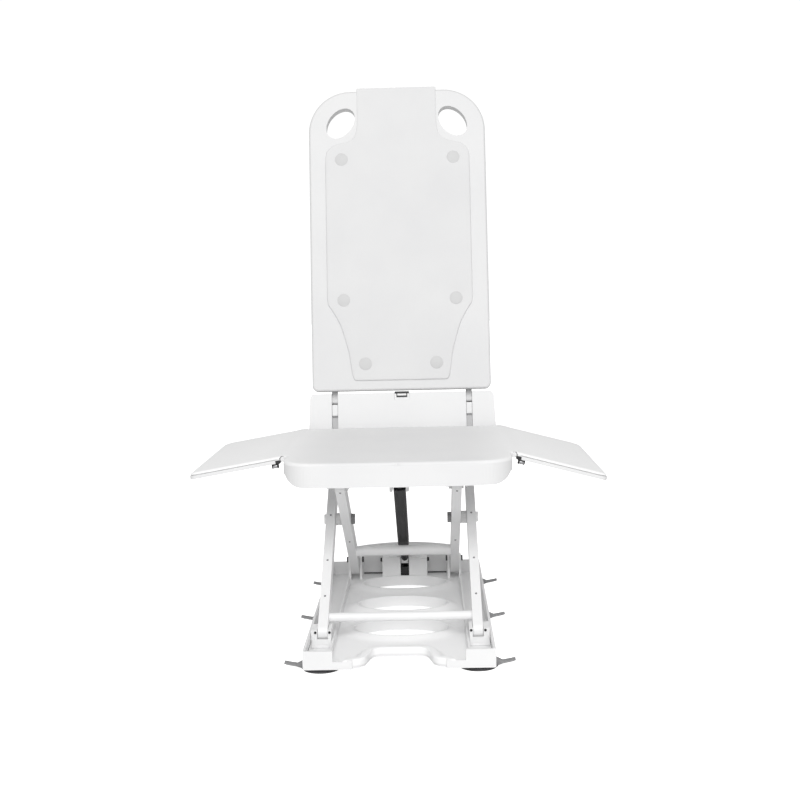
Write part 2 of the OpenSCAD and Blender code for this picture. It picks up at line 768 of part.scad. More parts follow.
// Bars in the slots of the lower plate, down to the reclining hinge
module hinge_bars() color("silver") on_back()
    for (s = [-1, 1])
        difference() {
            yz(s * hinge_x, slot_w - 2 * gap) {
                translate([fold_at[0] - 6, tilt_at[1]]) square([12, -31 - tilt_at[1]]);
                translate(tilt_at) circle(d = 15);
            }
            rod_x(s * hinge_x, tilt_at, back_pin_d + 2 * run, 44);
            rod_x(s * hinge_x, [fold_at[0], -62], 5 + 2 * run, 44);
        }

module hinge_bar_bolts() color("gray") on_back()
    for (s = [-1, 1])
        rod_x(s * hinge_x, [fold_at[0], -62], 5, 40);

module fold_pins() color("gray") on_back()
    for (s = [-1, 1])
        rod_x(s * hinge_x, fold_at, back_pin_d, 40);

// Spring latch in the middle of the gap between the panels
module fold_latch() color("dimgray") on_back() {
    translate([-latch_w / 2, 2, -7.5]) cube([latch_w, 10, 4]);
    translate([-11, 2, -14]) cube([22, 10, 7]);
}

module backrest_panel() color(white) on_back() {
    tab_h = 2;
    skin_t = 5;
    rib_b = 6;
    pocket_w = (back_w - 30) / 4;
    pocket_h = (back_h - 136) / 6;
    difference() {
        slab(0, back_t) round_rect(-back_w / 2, 0, back_w, back_h, 12, back_r);
        for (s = [-1, 1])
            translate([s * 114.5, 0, back_h - 66.5]) slab(-1, back_t + 1) rotate(-s * 50)
                oval(hole_l, hole_w);
        for (i = [-2:1], j = [0:5])
            translate([i * pocket_w + rib_b / 2, skin_t, 22 + j * pocket_h])
                cube([pocket_w - rib_b, back_t, pocket_h - rib_b]);
    }
    for (s = [-1, 1])
        difference() {
            yz(s * hinge_x, slot_w - 2 * gap) {
                translate([fold_at[0] - 6, fold_at[1]]) square([12, tab_h - fold_at[1]]);
                translate(fold_at) circle(d = 12);
            }
            rod_x(s * hinge_x, fold_at, back_pin_d + 2 * run, 44);
        }
}

// Outline of the cover on the right, from the bottom to the top edge: the flare over the foot and the
// shoulder under the strap are curves given in parts of their own width and height
foot_curve = [
    [-0.06, 0], [0, 0.012], [0.08, 0.12], [0.16, 0.317], [0.27, 0.463], [0.51, 0.7], [0.82, 0.878],
    [0.96, 0.94], [1, 1]
];
shoulder_curve = [[0, 0], [0.06, 0.19], [0.29, 0.35], [0.65, 0.43], [0.86, 0.54], [0.97, 0.73], [1, 1]];
function cover_side() = concat(
    [for (p = foot_curve) [
        cover_foot_x + p[0] * (cover_x - cover_foot_x),
        cover_foot_up + p[1] * (cover_broad_up - cover_foot_up)
    ]],
    [for (p = shoulder_curve) [
        cover_x - p[0] * (cover_x - strap_x),
        back_h - cover_broad_down + p[1] * cover_shoulder_h
    ]],
    [[strap_x, back_h + strap_up]]
);

module backrest_cover() color("whitesmoke") on_back() {
    side = cover_side();
    slab(-cover_t, 0)
        polygon(concat(side, [for (i = [len(side) - 1:-1:0]) [-side[i][0], side[i][1]]]));
    translate([-strap_x, -cover_t, back_h]) cube([2 * strap_x, cover_t + back_t, strap_up]);
}

stud_xz = [
    [cover_x - 33, back_h - cover_broad_down - 4.5],
    [cover_x - 33.5, cover_broad_up],
    [cover_foot_x - 24.4, cover_foot_up + 34]
];
module cover_studs() color("silver") on_back()
    for (s = [-1, 1], p = stud_xz)
        translate([s * p[0], -cover_t, p[1]]) rotate([90, 0, 0]) cylinder(d = stud_d, h = 1.6);

// Rod with the knuckle that turns on the foot pin
rod_bore = 9;
module push_rod() color("silver") on_column()
    difference() {
        union() {
            rotate([0, 90, 0]) cylinder(d = 22, h = eye_w, center = true);
            cylinder(d = rod_d, h = rod_l);
        }
        rotate([0, 90, 0]) cylinder(d = pin_d + 2 * run, h = eye_w + 2, center = true);
        translate([0, 0, 30]) cylinder(d = rod_bore, h = rod_l);
    }

module screw_nut() color("goldenrod") on_column()
    translate([0, 0, rod_l - 18]) difference() {
        cylinder(d = rod_bore - 2 * run, h = 18);
        translate([0, 0, -1]) cylinder(d = screw_d + 2 * run, h = 20);
    }

// Black outer tube with two grooves down each face
tube_z = drive_l - column_l;
module column_tube() color("black") on_column()
    translate([0, 0, tube_z]) linear_extrude(height = column_l - 14)
        difference() {
            round_rect(-column_w / 2, -column_w / 2, column_w, column_w, 3, 3);
            circle(d = column_bore);
            for (a = [0:90:270], x = [-5, 5])
                rotate(a) translate([x - 0.8, column_w / 2 - 1.3]) square([1.6, 3]);
        }

module guide_bush() color("dimgray") on_column()
    translate([0, 0, tube_z]) difference() {
        cylinder(d = column_bore - 2 * run, h = 20);
        translate([0, 0, -1]) cylinder(d = rod_d + 2 * run, h = 22);
    }

plug_l = 22;
motor_z = drive_l - plug_l - motor_l;
module drive_motor() color("slategray") on_column()
    translate([0, 0, motor_z]) cylinder(d = column_bore - 2 * run, h = motor_l);

module lead_screw() color("silver") on_column()
    translate([0, 0, motor_z - screw_l]) cylinder(d = screw_d, h = screw_l);

module column_eye() color("dimgray") on_column() translate([0, 0, drive_l])
    difference() {
        union() {
            rotate([0, 90, 0]) cylinder(d = 18, h = eye_w, center = true);
            translate([0, 0, -plug_l]) cylinder(d = column_bore - 2 * run, h = plug_l - 7);
            translate([0, 0, -14]) cylinder(d = eye_w, h = 10);
        }
        rotate([0, 90, 0]) cylinder(d = 8 + 2 * run, h = eye_w + 2, center = true);
    }

module column_pin() color("gray") on_column()
    translate([0, 0, drive_l]) rotate([0, 90, 0])
        cylinder(d = 8, h = 2 * (lug_x + lug_t + 1.5), center = true);

base_tray();
suction_cups();
rear_pivot_brackets();
rear_pivot_pins();
bracket_bolts();
drive_foot_blocks();
drive_foot_pin();
inner_leg_left();
inner_leg_right();
rear_cross_tube();
middle_bolts();
middle_spacers();
middle_nuts();
outer_leg_left();
outer_leg_right();
front_cross_tube();
front_slider_left();
front_slider_right();
front_slider_pins();
seat_shell();
seat_pad();
seat_rail_left();
seat_rail_right();
rear_seat_brackets();
rear_seat_pins();
seat_slider_shoes();
seat_slider_pins();
recline_ears();
recline_pins();
drive_lug();
control_socket();
flap_hinge_pins();
left_flap();
right_flap();
left_flap_pad();
right_flap_pad();
left_hinge_clips();
right_hinge_clips();
lower_back_plate();
hinge_bars();
hinge_bar_bolts();
fold_pins();
fold_latch();
backrest_panel();
backrest_cover();
cover_studs();
push_rod();
screw_nut();
column_tube();
guide_bush();
drive_motor();
lead_screw();
column_eye();
column_pin();
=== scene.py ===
import json
import math

import bmesh
import bpy
import numpy as np
from mathutils import Matrix, Vector


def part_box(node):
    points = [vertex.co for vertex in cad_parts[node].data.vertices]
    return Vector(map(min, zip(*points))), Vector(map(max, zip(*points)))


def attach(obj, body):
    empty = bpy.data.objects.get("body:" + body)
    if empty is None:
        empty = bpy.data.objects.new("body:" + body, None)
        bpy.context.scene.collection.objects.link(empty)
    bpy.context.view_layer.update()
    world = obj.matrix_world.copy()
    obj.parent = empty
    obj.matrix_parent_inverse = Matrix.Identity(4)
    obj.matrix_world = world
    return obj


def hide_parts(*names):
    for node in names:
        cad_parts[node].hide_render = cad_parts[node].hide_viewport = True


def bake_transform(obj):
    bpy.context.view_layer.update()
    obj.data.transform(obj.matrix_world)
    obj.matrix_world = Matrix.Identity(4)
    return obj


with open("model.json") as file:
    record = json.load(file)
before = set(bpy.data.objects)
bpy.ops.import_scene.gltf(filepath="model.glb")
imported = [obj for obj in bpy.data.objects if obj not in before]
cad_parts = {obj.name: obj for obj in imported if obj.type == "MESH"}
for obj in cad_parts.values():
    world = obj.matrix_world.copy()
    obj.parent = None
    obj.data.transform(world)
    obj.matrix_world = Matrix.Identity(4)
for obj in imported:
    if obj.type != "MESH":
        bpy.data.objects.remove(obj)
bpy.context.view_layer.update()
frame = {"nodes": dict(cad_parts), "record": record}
nodes = frame["nodes"]
scene = bpy.context.scene
scene.view_settings.view_transform = "Standard"
print("frame loaded:", len(nodes), "nodes")

# places that several pieces share, in metres, as in the frame
lift = {
    "frontY": -0.372511,  # front and rear end of the tray
    "rearY": 0.203489,
    "seatFrontY": -0.244511,
    "seatRearY": 0.212489,
    "shellZ": 0.300986,  # top of the seat shell
    "hingeX": 0.1955,  # flap hinge line, at the height of the shell's top
    "flapFrontY": -0.147511,
    "flapRearY": 0.224489,
    "droop": {"left": 9.5, "right": 15.0},
    "recline": 10.0,
    "backFoot": (0.0, 0.242489, 0.377986),  # front lower edge of the upper panel
    "rearPin": (0.173489, 0.0335),  # scissor pivots, y and z
    "frontPin": (-0.260450, 0.0335),
    "legAngle": 33.1,
    "cupX": 0.122,  # centres of the suction cups
    "cupYs": (-0.336511, -0.084511, 0.149489),
}
backPlane = Matrix.Translation(lift["backFoot"]) @ Matrix.Rotation(math.radians(-lift["recline"]), 4, "X")
backFacing = backPlane.to_3x3() @ Vector((0, -1, 0))


# finishes

def addNode(tree, kind, **values):
    made = tree.nodes.new(kind)
    for key, value in values.items():
        setattr(made, key, value)
    return made


def makeFinish(name, look):
    common = {"ramp": (0.32, 0.7), "patchDetail": 4, "grainDetail": 3, "cellShare": -0.8, "roughHalf": 0.06}
    finish = bpy.data.materials.new(name)
    finish.use_nodes = True
    tree = finish.node_tree
    shader = tree.nodes["Principled BSDF"]
    link = tree.links.new
    coords = addNode(tree, "ShaderNodeTexCoord")
    place = addNode(tree, "ShaderNodeMapping")
    place.inputs["Scale"].default_value = look.get("stretch", (1, 1, 1))
    link(coords.outputs["Object"], place.inputs["Vector"])

    patches = addNode(tree, "ShaderNodeTexNoise")  # slow change of tone over the piece
    patches.inputs["Scale"].default_value = look.get("patchScale", 7)
    patches.inputs["Detail"].default_value = common["patchDetail"]
    link(coords.outputs["Object"], patches.inputs["Vector"])
    tones = addNode(tree, "ShaderNodeValToRGB")
    for step, spot, label in zip(tones.color_ramp.elements, common["ramp"], ("shade", "tone")):
        step.position, step.color = spot, (*look[label], 1)
    link(patches.outputs["Fac"], tones.inputs["Fac"])
    colour = tones.outputs["Color"]
    if look.get("paler"):  # painted light: the seat foam is paler towards the sides, over the flaps
        parts = addNode(tree, "ShaderNodeSeparateXYZ")
        link(coords.outputs["Object"], parts.inputs["Vector"])
        away = addNode(tree, "ShaderNodeMath", operation="ABSOLUTE")
        link(parts.outputs["X"], away.inputs[0])
        fade = addNode(tree, "ShaderNodeMapRange", interpolation_type="SMOOTHSTEP")
        fade.inputs["From Min"].default_value, fade.inputs["From Max"].default_value = look["sideLightFrom"]
        link(away.outputs[0], fade.inputs["Value"])
        mixed = addNode(tree, "ShaderNodeMix", data_type="RGBA")
        link(fade.outputs["Result"], mixed.inputs["Factor"])
        link(colour, mixed.inputs[6])
        mixed.inputs[7].default_value = (*look["paler"], 1)
        colour = mixed.outputs[2]
    link(colour, shader.inputs["Base Color"])

    grain = addNode(tree, "ShaderNodeTexNoise")
    grain.inputs["Scale"].default_value = look["grain"]
    grain.inputs["Detail"].default_value = common["grainDetail"]
    link(place.outputs["Vector"], grain.inputs["Vector"])
    height = grain.outputs["Fac"]
    if look.get("pebble"):  # small rounded cells of a foam or leather skin
        cells = addNode(tree, "ShaderNodeTexVoronoi", feature="SMOOTH_F1")
        cells.inputs["Scale"].default_value = look["pebble"]
        link(place.outputs["Vector"], cells.inputs["Vector"])
        both = addNode(tree, "ShaderNodeMath", operation="MULTIPLY_ADD")
        link(cells.outputs["Distance"], both.inputs[0])
        both.inputs[1].default_value = common["cellShare"]
        link(grain.outputs["Fac"], both.inputs[2])
        height = both.outputs[0]
    bump = addNode(tree, "ShaderNodeBump")
    bump.inputs["Strength"].default_value = look.get("bump", 0.25)
    bump.inputs["Distance"].default_value = look.get("depth", 0.0002)
    link(height, bump.inputs["Height"])
    link(bump.outputs["Normal"], shader.inputs["Normal"])

    dull = addNode(tree, "ShaderNodeMapRange")
    dull.inputs["To Min"].default_value = look["rough"] - common["roughHalf"]
    dull.inputs["To Max"].default_value = look["rough"] + common["roughHalf"]
    link(grain.outputs["Fac"], dull.inputs["Value"])
    link(dull.outputs["Result"], shader.inputs["Roughness"])
    shader.inputs["Metallic"].default_value = look.get("metal", 0)
    shader.inputs["Sheen Weight"].default_value = look.get("sheen", 0)
    shader.inputs["Specular IOR Level"].default_value = look.get("specular", 0.5)
    return finish


looks = {
    "mouldedWhite": dict(tone=(0.79, 0.79, 0.79), shade=(0.76, 0.76, 0.764), grain=900, rough=0.42,
                         bump=0.18),
    # a darker copy of the moulded white for the upper backrest panel: painted shade that tones down its lit
    # face
    "backWhite": dict(tone=(0.70, 0.70, 0.70), shade=(0.67, 0.67, 0.674), grain=900, rough=0.42, bump=0.18),
    "trayWhite": dict(tone=(0.86, 0.86, 0.86), shade=(0.83, 0.83, 0.833), grain=900, rough=0.40, bump=0.18),
    # a paler copy of the tray white: painted light that lifts the shade under the seat on the tray's floor,
    # the ovals' walls and the foot blocks, and in the backrest's hand holes and on its hinge tabs
    "trayPale": dict(tone=(0.95, 0.95, 0.95), shade=(0.92, 0.92, 0.922), grain=900, rough=0.40, bump=0.18),
    # a darker copy of the seat foam for the backrest cover and its strap: painted shade that tones down their
    # lit faces
    "foamShadedWhite": dict(tone=(0.715, 0.715, 0.715), shade=(0.68, 0.68, 0.684), grain=1500, pebble=620,
                      rough=0.66, bump=0.3, depth=0.0003, sheen=0.05),
    # the seat foam, with painted light that makes it paler towards the sides over the flaps
    "foamSeat": dict(tone=(0.76, 0.76, 0.76), shade=(0.73, 0.73, 0.734), grain=1500, pebble=620, rough=0.66,
                     bump=0.3, depth=0.0003, sheen=0.05, paler=(0.90, 0.90, 0.90), sideLightFrom=(0.10, 0.24)),
    "studGrey": dict(tone=(0.62, 0.62, 0.62), shade=(0.58, 0.58, 0.58), grain=900, rough=0.6),
    "powderWhite": dict(tone=(0.88, 0.88, 0.88), shade=(0.85, 0.85, 0.853), grain=520, rough=0.36, bump=0.22),
    "shoeGrey": dict(tone=(0.74, 0.74, 0.74), shade=(0.67, 0.67, 0.67), grain=800, rough=0.5),
    "sliderWhite": dict(tone=(0.88, 0.88, 0.88), shade=(0.84, 0.84, 0.842), grain=800, rough=0.5),
    "hingeGrey": dict(tone=(0.54, 0.54, 0.545), shade=(0.46, 0.46, 0.465), grain=340, rough=0.46,
                      stretch=(1, 1, 0.06), patchScale=30),
    "rivetGrey": dict(tone=(0.26, 0.26, 0.265), shade=(0.20, 0.20, 0.205), grain=400, rough=0.45),
    "darkPlastic": dict(tone=(0.022, 0.022, 0.023), shade=(0.014, 0.014, 0.015), grain=900, rough=0.48),
    "brushedSteel": dict(tone=(0.56, 0.56, 0.57), shade=(0.44, 0.44, 0.45), grain=340, rough=0.34, metal=1,
                         stretch=(0.06, 1, 1), patchScale=30),
    "darkSteel": dict(tone=(0.10, 0.10, 0.105), shade=(0.06, 0.06, 0.062), grain=400, rough=0.42, metal=0.8),
    "blackAnodised": dict(tone=(0.030, 0.030, 0.032), shade=(0.020, 0.020, 0.021), grain=700, rough=0.40,
                          metal=0.4, stretch=(1, 0.12, 0.12)),
    "plainBrass": dict(tone=(0.70, 0.53, 0.24), shade=(0.60, 0.44, 0.18), grain=500, rough=0.34, metal=1),
    "cupRubber": dict(tone=(0.10, 0.10, 0.104), shade=(0.06, 0.06, 0.062), grain=700, rough=0.62,
                      patchScale=40),
    "tabRubber": dict(tone=(0.34, 0.34, 0.345), shade=(0.26, 0.26, 0.265), grain=700, rough=0.6,
                      patchScale=40),
    # painted shadow: the dark slit under the flaps' edges and the lines at the foot of the rear wall
    "paintedShadow": dict(tone=(0.20, 0.20, 0.20), shade=(0.07, 0.07, 0.07), grain=500, rough=0.8, patchScale=60),
}
finishes = {name: makeFinish(name, look) for name, look in looks.items()}
slotFinish = {
    "white_shell": "mouldedWhite", "pad": "foamShadedWhite", "cover": "foamShadedWhite", "stud": "studGrey",
    "white_leg": "powderWhite", "grey_plastic": "shoeGrey", "dark_plastic": "darkPlastic",
    "steel": "brushedSteel", "dark_steel": "darkSteel", "black_column": "blackAnodised",
    "brass": "plainBrass", "cup_rubber": "cupRubber",
}
nodeSlot = {row["node"]: row["material_slot"] for row in frame["record"]["subparts"]}
nodeFinish = {  # nodes that look unlike the rest of their slot
    "middle_bolts": "powderWhite", "seat_slider_shoes": "shoeGrey", "drive_lug": "powderWhite",
    "push_rod": "blackAnodised", "middle_nuts": "rivetGrey",
}
for nodeName, node in nodes.items():
    node.data.materials.clear()
    node.data.materials.append(finishes[nodeFinish.get(nodeName, slotFinish[nodeSlot[nodeName]])])
print("finishes made:", len(finishes))


# mesh helpers

def shadeSmooth(mesh, angle=38):
    mesh.polygons.foreach_set("use_smooth", [True] * len(mesh.polygons))
    mesh.set_sharp_from_angle(angle=math.radians(angle))


def addPiece(name, mesh, finishName, body=None, stands=(), slotName=None, flatFaces=False):
    mesh.materials.clear()
    mesh.materials.append(finishes[finishName])
    piece = bpy.data.objects.new(name, mesh)
    scene.collection.objects.link(piece)
    if flatFaces:  # large flats stay flat beside rounded edges
        even = piece.modifiers.new("evenNormals", "WEIGHTED_NORMAL")
        even.keep_sharp = True
    if body:
        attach(piece, body)
    if stands:
        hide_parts(*stands)
    return piece


def addMade(name, bm, *rest):
    mesh = bpy.data.meshes.new(name)
    bm.to_mesh(mesh)
    bm.free()
    shadeSmooth(mesh)
    return addPiece(name, mesh, *rest)


def nodeCopy(nodeName):
    bm = bmesh.new()
    bm.from_mesh(nodes[nodeName].data)
    bmesh.ops.remove_doubles(bm, verts=bm.verts, dist=1e-5)
    bmesh.ops.dissolve_limit(bm, angle_limit=math.radians(0.4), verts=bm.verts, edges=bm.edges)
    return bm


def faceOut(bm):
    bmesh.ops.recalc_face_normals(bm, faces=bm.faces)


def bevel(bm, edges, radius, steps):
    bmesh.ops.bevel(bm, geom=edges, offset=radius, offset_type="OFFSET", segments=steps, profile=0.5,
                    affect="EDGES", clamp_overlap=True)


def roundEdges(bm, radius, sharp, steps=3, chosen=None):
    corners = []
    for edge in bm.edges:
        if len(edge.link_faces) == 2 and edge.calc_face_angle() > math.radians(sharp):
            if chosen is None or chosen((edge.verts[0].co + edge.verts[1].co) / 2, edge):
                corners.append(edge)
    bevel(bm, corners, radius, steps)


def roundedBox(bm, low, high, radius, turn=None, steps=2):
    lowV, highV = Vector(low), Vector(high)
    size = highV - lowV
    place = Matrix.Translation((lowV + highV) / 2) @ Matrix.Diagonal((*size, 1))
    made = bmesh.ops.create_cube(bm, size=1, matrix=(turn @ place) if turn else place)
    bevel(bm, list({e for v in made["verts"] for e in v.link_edges}), radius, steps)


def barThrough(bm, rings):
    # a closed bar through rings of four corners
    made = [[bm.verts.new(corner) for corner in ring] for ring in rings]
    for one, two in zip(made, made[1:]):
        for i in range(4):
            bm.faces.new((one[i], one[(i + 1) % 4], two[(i + 1) % 4], two[i]))
    bm.faces.new(made[0])
    bm.faces.new(made[-1])


def lathe(bm, profile, count, place):
    # turns a profile of radius and height about the local z
    rings = []
    for radius, height in profile:
        if radius < 1e-7:
            rings.append([bm.verts.new(place @ Vector((0, 0, height)))] * count)
            continue
        rings.append([bm.verts.new(place @ Vector((radius * math.cos(a), radius * math.sin(a), height)))
                      for a in (2 * math.pi * i / count for i in range(count))])
    for lower, upper in zip(rings, rings[1:]):
        for i in range(count):
            j = (i + 1) % count
            corners = []
            for vert in (lower[i], lower[j], upper[j], upper[i]):
                if vert not in corners:
                    corners.append(vert)
            if len(corners) > 2:
                bm.faces.new(corners)


def evenLoop(points, step):
    closed = np.vstack([points, points[:1]])
    along = np.concatenate([[0], np.cumsum(np.linalg.norm(np.diff(closed, axis=0), axis=1))])
    count = max(16, int(round(along[-1] / step)))
    at = np.linspace(0, along[-1], count, endpoint=False)
    return np.column_stack([np.interp(at, along, closed[:, k]) for k in (0, 1)])


def outward(loop):
    ahead = np.roll(loop, -2, 0) - np.roll(loop, 2, 0)
    side = np.column_stack([ahead[:, 1], -ahead[:, 0]])
    return side / np.linalg.norm(side, axis=1)[:, None]


def insideLoops(points, loops):
    inside = np.zeros(len(points), bool)
    for loop in loops:
        a, b = loop, np.roll(loop, -1, 0)
        for k in range(len(a)):
            over = (a[k, 1] > points[:, 1]) != (b[k, 1] > points[:, 1])
            if over.any():
                run = (b[k, 0] - a[k, 0]) * (points[:, 1] - a[k, 1]) / (b[k, 1] - a[k, 1] + 1e-15)
                inside ^= over & (points[:, 0] < run + a[k, 0])
    return inside


def softSheet(name, loops, cell, edge, top, bottom, place, sideAt=None, tuck=None):
    # a sheet inside its loops (outer one anticlockwise, holes clockwise) with a rounded upper edge;
    # where tuck says so, the lower edge is drawn in and leaves a thin slit, whose faces take the second
    # material as painted shadow
    slit, steps, most = 0.0013, 4, 0.96  # the rounding takes at most this share of the thickness
    rims = [evenLoop(np.array(loop, float), cell / 3) for loop in loops]
    sides = [outward(rim) for rim in rims]
    if sideAt:
        sides = [sideAt(rim[:, 0], rim[:, 1], side) for rim, side in zip(rims, sides)]
    inner = [rim - side * edge for rim, side in zip(rims, sides)]
    innerAll, sideAll = np.vstack(inner), np.vstack(sides)
    low, high = innerAll.min(0), innerAll.max(0)
    nx, ny = (int(math.ceil(v / cell)) for v in high - low)
    xs, ys = np.linspace(low[0], high[0], nx + 1), np.linspace(low[1], high[1], ny + 1)
    cx, cy = np.meshgrid((xs[1:] + xs[:-1]) / 2, (ys[1:] + ys[:-1]) / 2, indexing="ij")
    kept = insideLoops(np.column_stack([cx.ravel(), cy.ravel()]), inner).reshape(nx, ny)
    for i in range(nx - 1):  # no two cells that meet only at a corner
        for j in range(ny - 1):
            four = kept[i:i + 2, j:j + 2]
            if four[0, 0] == four[1, 1] and four[0, 1] == four[1, 0] and four[0, 0] != four[0, 1]:
                kept[i:i + 2, j:j + 2] = True
    around = np.zeros((nx + 1, ny + 1), int)
    for di in (0, 1):
        for dj in (0, 1):
            around[di:nx + di, dj:ny + dj] += kept
    index = -np.ones((nx + 1, ny + 1), int)
    used = np.argwhere(around > 0)
    index[used[:, 0], used[:, 1]] = np.arange(len(used))
    flat = np.column_stack([xs[used[:, 0]], ys[used[:, 1]]])
    onRim = np.flatnonzero(around[used[:, 0], used[:, 1]] < 4)
    rimSide = np.zeros((len(onRim), 2))
    for n, v in enumerate(onRim):
        near = int(np.argmin(((innerAll - flat[v]) ** 2).sum(1)))
        flat[v], rimSide[n] = innerAll[near], sideAll[near]
    topZ, lowZ = top(flat[:, 0], flat[:, 1]), bottom(flat[:, 0], flat[:, 1])
    layers = [np.column_stack([flat, topZ])]
    rimOrder = {int(v): n for n, v in enumerate(onRim)}
    count = len(flat)
    drawn = tuck(flat[onRim, 0], flat[onRim, 1]) if tuck else np.zeros(len(onRim))
    for k in range(1, steps + 1):
        turn = math.pi / 2 * k / steps
        drop = np.minimum(edge, (topZ - lowZ)[onRim] * most - slit * (drawn > 0)) * (1 - math.cos(turn))
        layers.append(np.column_stack([flat[onRim] + rimSide * edge * math.sin(turn), topZ[onRim] - drop]))
    layers.append(np.column_stack([flat[onRim] + rimSide * (edge - drawn)[:, None], lowZ[onRim]]))
    ringStart = [count + n * len(onRim) for n in range(steps + 1)]
    lowStart = count + (steps + 1) * len(onRim)
    layers.append(np.column_stack([flat, lowZ]))
    points = np.vstack(layers)

    def column(v):
        return [v] + [start + rimOrder[v] for start in ringStart] + [lowStart + v]

    faces, dark = [], []
    for i, j in np.argwhere(kept):
        a, b, c, d = (int(index[p]) for p in ((i, j), (i + 1, j), (i + 1, j + 1), (i, j + 1)))
        faces.append((a, b, c, d))
        faces.append((lowStart + d, lowStart + c, lowStart + b, lowStart + a))
        for p, q, ni, nj in ((a, b, i, j - 1), (b, c, i + 1, j), (c, d, i, j + 1), (d, a, i - 1, j)):
            if not (0 <= ni < nx and 0 <= nj < ny and kept[ni, nj]):
                first, second = column(p), column(q)
                for k in range(len(first) - 1):
                    if k == steps and drawn[rimOrder[p]] > 0:
                        dark.append(len(faces))
                    faces.append((second[k], first[k], first[k + 1], second[k + 1]))
    mesh = bpy.data.meshes.new(name)
    mesh.from_pydata(place(points[:, 0], points[:, 1], points[:, 2]).tolist(), [], faces)
    # faces in the tucked slit take the second material, a painted shadow
    for face in dark:
        mesh.polygons[face].material_index = 1
    bm = bmesh.new()
    bm.from_mesh(mesh)
    bmesh.ops.remove_doubles(bm, verts=bm.verts, dist=2e-5)
    faceOut(bm)
    bm.to_mesh(mesh)
    bm.free()
    shadeSmooth(mesh, 50)
    return mesh


def smoothPath(points, count):
    # points of a curve that runs through all the given ones
    p = np.array(points, float)
    p = np.vstack([2 * p[0] - p[1], p, 2 * p[-1] - p[-2]])
    out = []
    for k in range(1, len(p) - 2):
        for t in np.linspace(0, 1, count, endpoint=False):
            out.append(0.5 * (2 * p[k] + (p[k + 1] - p[k - 1]) * t
                              + (2 * p[k - 1] - 5 * p[k] + 4 * p[k + 1] - p[k + 2]) * t * t
                              + (3 * p[k] - p[k - 1] - 3 * p[k + 1] + p[k + 2]) * t ** 3))
    out.append(p[-2])
    return np.array(out)


def arc(centre, radius, first, last, count=12):
    angles = np.radians(np.linspace(first, last, count))
    return [(centre[0] + radius * math.cos(a), centre[1] + radius * math.sin(a)) for a in angles]


# camera, floor and light

def setStage():
    stage = {
        "lens": 53.26, "sensor": 36, "place": (0.0512, -2.1271, 0.6008),
        "yaw": -1.33, "pitch": 5.86, "roll": -1.33,
        "keyPower": 79, "keyPlace": (0.1, -3.0, 2.3), "keySize": 2.6, "keyAim": (0, 0, 0.45),
        "ambient": 0.62, "skyWhite": 1.05, "floorReach": 14, "floorWhite": 0.75, "floorRough": 0.9,
        "floorShine": 0.1, "floorGlow": 0.05, "pictureGlow": 0.9,
    }
    yaw, pitch, roll = (math.radians(stage[k]) for k in ("yaw", "pitch", "roll"))
    ahead = Vector((math.sin(yaw) * math.cos(pitch), math.cos(yaw) * math.cos(pitch), -math.sin(pitch)))
    right = Vector((math.cos(yaw), -math.sin(yaw), 0))
    up = Vector((math.sin(yaw) * math.sin(pitch), math.cos(yaw) * math.sin(pitch), math.cos(pitch)))
    camX = math.cos(roll) * right + math.sin(roll) * up
    camY = -math.sin(roll) * right + math.cos(roll) * up
    camData = bpy.data.cameras.new("viewCamera")
    camData.lens, camData.sensor_width = stage["lens"], stage["sensor"]
    camera = bpy.data.objects.new("viewCamera", camData)
    turn = Matrix((camX, camY, -ahead)).transposed().to_4x4()
    camera.matrix_world = Matrix.Translation(stage["place"]) @ turn
    scene.collection.objects.link(camera)
    scene.camera = camera

    floorMesh = bpy.data.meshes.new("floor")
    reach = stage["floorReach"]
    corners = [(-reach, -reach, 0), (reach, -reach, 0), (reach, reach, 0), (-reach, reach, 0)]
    floorMesh.from_pydata(corners, [], [(0, 1, 2, 3)])
    floor = bpy.data.objects.new("floor", floorMesh)
    paleFloor = bpy.data.materials.new("paleFloor")
    paleFloor.use_nodes = True
    shader = paleFloor.node_tree.nodes["Principled BSDF"]
    shader.inputs["Base Color"].default_value = (*[stage["floorWhite"]] * 3, 1)
    shader.inputs["Roughness"].default_value = stage["floorRough"]
    shader.inputs["Specular IOR Level"].default_value = stage["floorShine"]
    shader.inputs["Emission Color"].default_value = (1, 1, 1, 1)
    floorTree = paleFloor.node_tree
    floorPath = addNode(floorTree, "ShaderNodeLightPath")  # whiter in the picture than as a light
    glow = addNode(floorTree, "ShaderNodeMapRange")
    glow.inputs["To Min"].default_value = stage["floorGlow"]
    glow.inputs["To Max"].default_value = stage["floorGlow"] + stage["pictureGlow"]
    floorTree.links.new(floorPath.outputs["Is Camera Ray"], glow.inputs["Value"])
    floorTree.links.new(glow.outputs["Result"], shader.inputs["Emission Strength"])
    floorMesh.materials.append(paleFloor)
    scene.collection.objects.link(floor)

    world = bpy.data.worlds.new("studio")
    scene.world = world
    world.use_nodes = True
    sky = world.node_tree.nodes["Background"]
    tree = world.node_tree
    path = addNode(tree, "ShaderNodeLightPath")
    mix = addNode(tree, "ShaderNodeMapRange")
    mix.inputs["To Min"].default_value = stage["ambient"]
    mix.inputs["To Max"].default_value = stage["skyWhite"]
    tree.links.new(path.outputs["Is Camera Ray"], mix.inputs["Value"])
    tree.links.new(mix.outputs["Result"], sky.inputs["Strength"])
    sky.inputs["Color"].default_value = (1, 1, 1, 1)

    keyData = bpy.data.lights.new("softKey", "AREA")
    keyData.energy, keyData.size = stage["keyPower"], stage["keySize"]
    key = bpy.data.objects.new("softKey", keyData)
    key.location = stage["keyPlace"]
    aim = Vector(stage["keyAim"]) - key.location
    key.rotation_mode = "QUATERNION"
    key.rotation_quaternion = aim.to_track_quat("-Z", "Y")
    scene.collection.objects.link(key)
    print("camera, floor and light set")


setStage()


# rigid pieces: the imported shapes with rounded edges

def inBack(point):
    return backPlane.inverted() @ point


